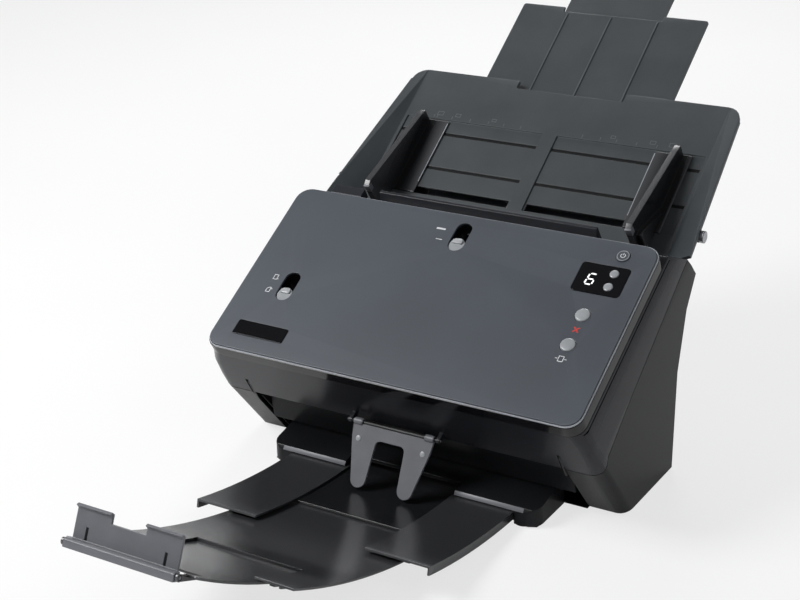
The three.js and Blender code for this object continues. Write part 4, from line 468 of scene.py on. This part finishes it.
# symbol and ring on the power key
power = {"at": (127.7, 145.5), "out": 0.72, "steps": 24, "arc": (1.45, 1.95), "arcFrom": 125, "arcTo": 415,
         "strokeLow": 0.4, "strokeHigh": 2.5, "line": 0.5, "ring": (4.05, 4.5)}
x, y = power["at"]
symbol = [arcBand(x, y, *power["arc"], power["arcFrom"], power["arcTo"], power["steps"]),
          bar(x, y + power["strokeLow"], x, y + power["strokeHigh"], power["line"])]
ring = [arcBand(x, y, *power["ring"], start, start + 180, power["steps"]) for start in (0, 180)]
printOn("power_symbol", symbol, onPanel, power["out"], whiteInk, "power_key")
printOn("power_ring", ring, onPanel, power["out"], greyInk, "power_key")
print("panel marks printed")


def addBlock(work, place, left, right, low, high, under, top, edge=0.0):
    # a block across, along and out of the given face, in millimetres, with rounded edges
    corners = [[[work.verts.new(place(x, y, z)) for z in (under, top)] for y in (low, high)]
               for x in (left, right)]
    a, b = corners
    faces = [(a[0][0], a[0][1], a[1][1], a[1][0]), (b[0][0], b[1][0], b[1][1], b[0][1]),
             (a[0][0], b[0][0], b[0][1], a[0][1]), (a[1][0], a[1][1], b[1][1], b[1][0]),
             (a[0][0], a[1][0], b[1][0], b[0][0]), (a[0][1], b[0][1], b[1][1], a[1][1])]
    made = [work.faces.new(f) for f in faces]
    bmesh.ops.recalc_face_normals(work, faces=made)
    if edge:
        edges = list({e for f in made for e in f.edges})
        bmesh.ops.bevel(work, geom=edges, offset=edge * mm, offset_type="OFFSET", segments=rounding["steps"],
                        profile=0.5, affect="EDGES")


def addSideBlock(work, place, sign, near, far, low, high, under, top, edge=0.0):
    # a block on one side of the middle: sign is -1 on the left and 1 on the right
    left, right = sorted((sign * near, sign * far))
    addBlock(work, place, left, right, low, high, under, top, edge)


def addTurned(work, middle, axis, profile, steps=24):
    # a turned part: profile is (distance along the axis, radius) in millimetres, closed on the axis
    axis = axis.normalized()
    side = axis.orthogonal().normalized()
    other = axis.cross(side)
    rings = []
    for along, radius in profile:
        if radius == 0:
            rings.append([work.verts.new(middle + axis * along * mm)])
        else:
            rings.append([work.verts.new(middle + axis * along * mm
                                         + (side * math.cos(t) + other * math.sin(t)) * radius * mm)
                          for t in (2 * math.pi * i / steps for i in range(steps))])
    made = []
    for low, high in zip(rings, rings[1:]):
        for i in range(steps):
            j = (i + 1) % steps
            loop = [low[i % len(low)], low[j % len(low)], high[j % len(high)], high[i % len(high)]]
            made.append(work.faces.new(list(dict.fromkeys(loop))))  # two corners on the axis are one
    bmesh.ops.recalc_face_normals(work, faces=made)


# bright moulded bead on the ledge round the panel plate, a painted highlight for the line of light
# along the plate's bevel
bead = {"out": 0.75, "width": 0.8, "low": -2.0, "rise": 0.95, "corner": 11.0, "steps": 10,
        "shoulderShare": 0.5, "crownShare": 0.55}
halfWidth, length = panelHigh.x / mm, panelLength / mm


def roundedOutline(grow):
    radius = bead["corner"] + grow
    points = []
    for cornerX, cornerY, start in ((halfWidth, 0, -90), (halfWidth, length, 0), (-halfWidth, length, 90),
                                    (-halfWidth, 0, 180)):
        middleX = cornerX - math.copysign(bead["corner"], cornerX)
        middleY = bead["corner"] if cornerY == 0 else length - bead["corner"]
        for i in range(bead["steps"] + 1):
            t = math.radians(start + 90 * i / bead["steps"])
            points.append((middleX + radius * math.cos(t), middleY + radius * math.sin(t)))
    return points


profile = [(0.0, 0.0), (bead["width"], 0.0), (bead["width"], bead["rise"] * bead["shoulderShare"]),
           (bead["width"] * bead["crownShare"], bead["rise"]), (0.0, bead["rise"])]
work = bmesh.new()
loops = []
for across, rise in profile:
    outline = roundedOutline(bead["out"] - bead["width"] / 2 + across)
    loops.append([work.verts.new(onPanel(x, y, bead["low"] + rise)) for x, y in outline])
for low, high in zip(loops, loops[1:] + loops[:1]):
    for i in range(len(low)):
        j = (i + 1) % len(low)
        work.faces.new((low[i], low[j], high[j], high[i]))
bmesh.ops.recalc_face_normals(work, faces=work.faces)
addSolid("panel_highlight_bead", work, paintedHighlightTrim, "cover")

# black backing behind the gaps of the tray's slatted field, painted shade for the dark bands of
# those gaps
field = {"top": -50.0, "low": -126.0, "halfWidth": 134.0, "rib": 6.5, "inset": 0.3,
         "placeShares": (0.18, 0.64), "groove": 2.6, "under": -1.88, "face": -1.7}
work = bmesh.new()
for share in field["placeShares"]:
    along = field["top"] + (field["low"] - field["top"]) * share
    for sign in (-1, 1):
        addSideBlock(work, onTray, sign, field["rib"] + field["inset"], field["halfWidth"] - field["inset"],
                     along - field["groove"] / 2, along + field["groove"] / 2, field["under"], field["face"])
addSolid("field_shade_strips", work, grooveShade, "input_tray")

# paper-width ticks and page outlines printed above the field
ticks = {"along": -48.6, "length": 3.0, "line": 0.45, "out": 0.02,
         "halfWidths": (107.9, 105.0, 91.0, 74.0, 57.0, 43.0, 27.5),
         "pages": ((107.9, 5.2), (91.0, 4.4), (57.0, 3.6)), "pageInset": 2.2, "pageRise": 4.6,
         "pageShare": 0.7}
outlines = []
for sign in (-1, 1):
    for x in ticks["halfWidths"]:
        outlines.append(bar(sign * x, ticks["along"], sign * x, ticks["along"] + ticks["length"],
                            ticks["line"]))
    for x, width in ticks["pages"]:
        middle = sign * (x - width / 2 - ticks["pageInset"])
        outlines += frameBars(middle, ticks["along"] + ticks["pageRise"], width, width * ticks["pageShare"],
                              ticks["line"])
printOn("width_marks", outlines, onTray, ticks["out"], faintInk, "input_tray")

# dark shields that close the guides' slits from below, outside the extension channel: painted
# shade, near-black sheets where the slits show only shadow
shield = {"near": 88.6, "far": 121.6, "low": -128.0, "high": -115.5, "under": -8.6, "top": -7.4,
          "floor": -3.1, "wall": 1.2, "gap": 0.01, "skirtLow": -123.0, "skirtHigh": -108.0,
          "skirtFoot": -16.0}
work = bmesh.new()
for sign in (-1, 1):
    addSideBlock(work, onTray, sign, shield["near"], shield["far"], shield["low"], shield["high"],
                 shield["under"], shield["top"])
    addSideBlock(work, onTray, sign, shield["far"] + shield["gap"], shield["far"] + shield["wall"],
                 shield["low"], shield["high"], shield["under"], shield["floor"])
    # the wall across the upper end, so that no light shows under the floor
    addSideBlock(work, onTray, sign, shield["near"], shield["far"], shield["high"] + shield["gap"],
                 shield["high"] + shield["wall"], shield["under"], shield["floor"])
    # the skirt beside the channel, where its own side wall is left open for the guides' feet
    addSideBlock(work, onTray, sign, shield["near"], shield["near"] + shield["wall"], shield["skirtLow"],
                 shield["skirtHigh"], shield["skirtFoot"], shield["under"] - shield["gap"])
addSolid("slit_shade_shields", work, grooveShade, "input_tray")

# painted highlight lines along the inner edges of the guides' flanges, and light-grey caps on the
# lower ends of their walls
flangeHighlight = {"near": 91.6, "far": 92.3, "low": -115.0, "high": -54.0, "under": 0.2, "top": 0.55,
              "edge": 0.12}
cap = {"near": 109.8, "far": 115.2, "low": -149.35, "high": -144.5, "under": 25.5, "top": 32.35, "edge": 0.5}
for side, sign in (("left", -1), ("right", 1)):
    work = bmesh.new()
    addSideBlock(work, onTray, sign, **flangeHighlight)
    addSolid("guide_highlight_line_" + side, work, paintedHighlightTrim, side + "_guide")
for side, sign in (("left", -1), ("right", 1)):
    work = bmesh.new()
    addSideBlock(work, onTray, sign, **cap)
    addSolid("guide_cap_" + side, work, finishes["mid_grey"], side + "_guide")

# pale strips along the deck's front bevel, on both sides of the middle
bevel = {"foot": 10.3, "run": 2.0, "rise": 3.1}
strip = {"near": 46.6, "far": 102.0, "low": 0.15, "high": 3.5, "under": -0.6, "top": 0.14, "edge": 0.12}
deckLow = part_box("output_deck")[0]
onBevel = surface(Vector((0, deckLow.y, deckLow.z + bevel["foot"] * mm)),
                  Vector((0, bevel["run"], bevel["rise"])).normalized(),
                  Vector((0, -bevel["rise"], bevel["run"])).normalized())
work = bmesh.new()
for sign in (-1, 1):
    addSideBlock(work, onBevel, sign, **strip)
addSolid("deck_strips", work, finishes["mid_grey"], "base")
print("tray and panel trim added")

# domed caps on the round keys
keys = {"cancel_button": {"at": (119.65, 89.4), "radius": 5.3, "rise": 0.75},
        "scan_button": {"at": (119.65, 62.8), "radius": 5.3, "rise": 0.75},
        "up_button": {"at": (127.7, 128.6), "radius": 3.1, "rise": 0.5},
        "down_button": {"at": (127.7, 116.6), "radius": 3.1, "rise": 0.5}}
dome = {"foot": 0.55, "shoulder": 0.62, "turnStep": 10, "steps": 32, "smoothBelow": 50}
for name, key in keys.items():
    profile = [(dome["foot"], 0), (dome["foot"], key["radius"])]
    for degrees in range(0, 90, dome["turnStep"]):
        t = math.radians(degrees)
        profile.append((dome["shoulder"] + key["rise"] * math.sin(t), key["radius"] * math.cos(t)))
    profile.append((dome["shoulder"] + key["rise"], 0))
    work = bmesh.new()
    addTurned(work, onPanel(*key["at"], 0), panelOut, profile, dome["steps"])
    addSolid(name + "_dome", work, finishes["button_grey"], bodyOf[name], dome["smoothBelow"])

# raised grips across the upper ends of the two slide switches
grip = {"halfWidth": 4.0, "inset": 2.1, "length": 3.4, "sunk": -1.6, "top": 0.3, "edge": 0.45,
        "knobAbove": -1.5}
for name in ("size_switch", "mode_switch"):
    knob = [v.co - panelStart for v in frame["nodes"][name].data.vertices]
    knobEnd = max(v.dot(panelAlong) for v in knob if v.dot(panelOut) > grip["knobAbove"] * mm) / mm
    upper = knobEnd - grip["inset"]
    low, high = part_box(name)
    middle = (low.x + high.x) / 2 / mm
    work = bmesh.new()
    addBlock(work, onPanel, middle - grip["halfWidth"], middle + grip["halfWidth"], upper - grip["length"],
             upper, grip["sunk"], grip["top"], grip["edge"])
    addSolid(name + "_grip", work, finishes["button_grey"], bodyOf[name])
print("keys domed, switches gripped")

# contact pin of the power socket and contact tongue of the data socket
contact = {"pinRadius": 1.0, "pinFrom": -6.6, "pinTo": -1.6, "pinTaper": 0.4, "tipShare": 0.5,
           "tongueHalf": 2.6, "tongueRise": 0.6, "tongueThick": 0.9, "tongueFrom": -6.4, "tongueTo": -1.8}
rearward = Vector((0, 1, 0))
jackLow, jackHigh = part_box("dc_jack")
usbLow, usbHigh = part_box("usb_socket")
jackMiddle = (jackLow + jackHigh) / 2
usbMiddle = (usbLow + usbHigh) / 2
onRear = surface(Vector((0, jackHigh.y, 0)), Vector((0, 0, 1)), rearward)
work = bmesh.new()
addTurned(work, Vector((jackMiddle.x, jackHigh.y, jackMiddle.z)), rearward,
          [(contact["pinFrom"], 0), (contact["pinFrom"], contact["pinRadius"]),
           (contact["pinTo"] - contact["pinTaper"], contact["pinRadius"]),
           (contact["pinTo"], contact["pinRadius"] * contact["tipShare"]), (contact["pinTo"], 0)])
addSolid("jack_pin", work, finishes["steel"], "base")
tongueX, tongueLow = usbMiddle.x / mm, usbMiddle.z / mm + contact["tongueRise"]
work = bmesh.new()
addBlock(work, onRear, tongueX - contact["tongueHalf"], tongueX + contact["tongueHalf"], tongueLow,
         tongueLow + contact["tongueThick"], contact["tongueFrom"], contact["tongueTo"])
addSolid("usb_tongue", work, finishes["button_grey"], "base")
print("socket contacts added")

# rivets and hinge sleeves of the paper flap, which leans forward as it hangs
flap = {"lean": 29.1, "sheetBelow": 6.0, "rivetX": 26.9, "rivetDrop": 12.0, "rivetRadius": 2.0,
        "rivetRise": 0.3, "rivetSunk": 0.3, "rimShare": 0.6, "crownShare": 0.85, "sleeveNear": 26.6,
        "sleeveFar": 33.0, "sleeveRadius": 2.75, "sleeveEdge": 0.3}
pivot = Vector(jointOf["flap_swing"]["pos_m"])
lean = math.radians(flap["lean"])
hang = Vector((0, -math.sin(lean), -math.cos(lean)))
face = Vector((0, -math.cos(lean), math.sin(lean)))
flapFace = max((v.co - pivot).dot(face) for v in frame["nodes"]["paper_flap"].data.vertices
               if (v.co - pivot).dot(hang) > flap["sheetBelow"] * mm)
radius = flap["rivetRadius"]
profile = [(-flap["rivetSunk"], 0), (-flap["rivetSunk"], radius),
           (flap["rivetRise"] * flap["rimShare"], radius), (flap["rivetRise"], radius * flap["crownShare"]),
           (flap["rivetRise"], 0)]
work = bmesh.new()
for sign in (-1, 1):
    across = Vector((sign * flap["rivetX"] * mm, 0, 0))
    addTurned(work, pivot + across + hang * flap["rivetDrop"] * mm + face * flapFace, face, profile)
addSolid("flap_rivets", work, finishes["button_grey"], "flap")
near, far, radius, edge = flap["sleeveNear"], flap["sleeveFar"], flap["sleeveRadius"], flap["sleeveEdge"]
profile = [(near, 0), (near, radius - edge), (near + edge, radius), (far - edge, radius),
           (far, radius - edge), (far, 0)]
work = bmesh.new()
for sign in (-1, 1):
    addTurned(work, pivot, Vector((sign, 0, 0)), profile)
addSolid("flap_sleeves", work, finishes["mid_grey"], "flap")
print("flap hardware added")

# dark webs, painted shade for the dark insides of the paper stop's two slots, which lean back
# with its sheet by this many degrees
stopLean = 25.0
web = {"near": 28.03, "far": 29.75, "low": 2.7, "high": 3.7, "under": 3.05, "top": 10.75, "edge": 0.1}
lean = math.radians(stopLean)
onStop = surface(Vector(jointOf["stop_fold"]["pos_m"]), Vector((0, math.cos(lean), -math.sin(lean))),
                 Vector((0, math.sin(lean), math.cos(lean))))
work = bmesh.new()
for sign in (-1, 1):
    addSideBlock(work, onStop, sign, **web)
addSolid("stop_shade_webs", work, grooveShade, "stop")
print("stop webs added")

# white paper floor: it glows for the camera, so that it shows white as in a light tent, and only
# faintly in what the plastic mirrors (lengths from here on are metres)
studio = {"floorRadius": 9.0, "floorSides": 96, "deep": "#efefef", "pale": "#f3f3f3", "seenGlow": 0.72,
          "mirroredGlow": 0.2, "horizonLight": 0.5, "zenithLight": 0.14, "zenithFrom": 0.75, "sky": "#f4f6fa"}
white = hexToLinear("#ffffff")
work = bmesh.new()
bmesh.ops.create_circle(work, cap_ends=True, radius=studio["floorRadius"], segments=studio["floorSides"])
paper, tree, output, place = newMaterial("studio_floor")
floor = finishMesh(work, "studio_floor", paper)
fibres = addNode(tree, "ShaderNodeTexNoise", {"Scale": 3.0, "Detail": 2.0}, {"Vector": place})
tint = addNode(tree, "ShaderNodeValToRGB", links={"Fac": fibres.outputs["Fac"]})
fillRamp(tint.color_ramp, [(noiseLow, hexToLinear(studio["deep"])), (noiseHigh, hexToLinear(studio["pale"]))])
diffuse = addNode(tree, "ShaderNodeBsdfDiffuse", links={"Color": tint.outputs["Color"]})
glow = addNode(tree, "ShaderNodeEmission", {"Color": white, "Strength": 1.0})
ray = addNode(tree, "ShaderNodeLightPath")
mirrored = addNode(tree, "ShaderNodeMath", {"operation": "MAXIMUM"},
                   {0: ray.outputs["Is Glossy Ray"], 1: ray.outputs["Is Transmission Ray"]})
dimmed = addNode(tree, "ShaderNodeMath", {"operation": "MULTIPLY", 1: studio["mirroredGlow"]},
                 {0: mirrored.outputs[0]})
share = addNode(tree, "ShaderNodeMath", {"operation": "MULTIPLY_ADD", 1: studio["seenGlow"]},
                {0: ray.outputs["Is Camera Ray"], 2: dimmed.outputs[0]})
blendIn = addNode(tree, "ShaderNodeMixShader",
                  links={0: share.outputs[0], 1: diffuse.outputs["BSDF"], 2: glow.outputs["Emission"]})
tree.links.new(blendIn.outputs["Shader"], output.inputs["Surface"])

# soft light from all round, stronger at the horizon, and plain white behind the object
world = bpy.data.worlds.new("studio")
bpy.context.scene.world = world
world.use_nodes = True
tree = world.node_tree
tree.nodes.clear()
output = addNode(tree, "ShaderNodeOutputWorld")
sky = addNode(tree, "ShaderNodeTexCoord")
height = addNode(tree, "ShaderNodeSeparateXYZ", links={"Vector": sky.outputs["Generated"]})
falling = addNode(tree, "ShaderNodeMapRange",
                  {"From Min": 0.0, "From Max": studio["zenithFrom"], "To Min": studio["horizonLight"],
                   "To Max": studio["zenithLight"]}, {"Value": height.outputs["Z"]})
soft = addNode(tree, "ShaderNodeBackground", {"Color": hexToLinear(studio["sky"])},
               {"Strength": falling.outputs["Result"]})
plain = addNode(tree, "ShaderNodeBackground", {"Color": white, "Strength": 1.0})
ray = addNode(tree, "ShaderNodeLightPath")
blendIn = addNode(tree, "ShaderNodeMixShader",
                  links={0: ray.outputs["Is Camera Ray"], 1: soft.outputs["Background"],
                         2: plain.outputs["Background"]})
tree.links.new(blendIn.outputs["Shader"], output.inputs["Surface"])

studioLights = {
    "key_light": {"place": (-0.95, -0.8, 1.3), "size": 0.75, "watts": 24},
    "fill_light": {"place": (1.6, -0.6, 1.6), "size": 0.8, "watts": 4},
    "back_light": {"place": (-0.7, 1.5, 1.35), "size": 0.8, "watts": 15},
}
bodyMiddle = Vector((0, 0, 0.1))
for name, light in studioLights.items():
    lamp = bpy.data.lights.new(name, "AREA")
    lamp.shape = "DISK"
    lamp.size = light["size"]
    lamp.energy = light["watts"]
    holder = joinCollection(bpy.data.objects.new(name, lamp))
    holder.location = light["place"]
    aim = bodyMiddle - Vector(light["place"])
    holder.rotation_euler = aim.to_track_quat("-Z", "Y").to_euler()

# the camera solved from the photograph: its place and sensor in mm, its turns in degrees
view = {"place": (570.0, -974.593, 591.6), "azimuth": 31.71, "elevation": 22.15, "roll": -1.5,
        "focalPixels": 1666.97, "pictureWidth": 800, "sensor": 36.0}
azimuth, elevation, roll = (math.radians(view[key]) for key in ("azimuth", "elevation", "roll"))
right = Vector((math.cos(azimuth), math.sin(azimuth), 0))
back = Vector((math.sin(azimuth) * math.cos(elevation), -math.cos(azimuth) * math.cos(elevation),
               math.sin(elevation)))
up = back.cross(right)
rolledRight = right * math.cos(roll) + up * math.sin(roll)
rolledUp = up * math.cos(roll) - right * math.sin(roll)
camera = bpy.data.cameras.new("camera")
camera.sensor_width = view["sensor"]
camera.lens = view["focalPixels"] * view["sensor"] / view["pictureWidth"]
eye = joinCollection(bpy.data.objects.new("camera", camera))
turned = Matrix((rolledRight, rolledUp, back)).transposed().to_4x4()
eye.matrix_world = Matrix.Translation(Vector(view["place"]) * mm) @ turned
bpy.context.scene.camera = eye
bpy.context.scene.view_settings.view_transform = "Standard"
print("stage set")
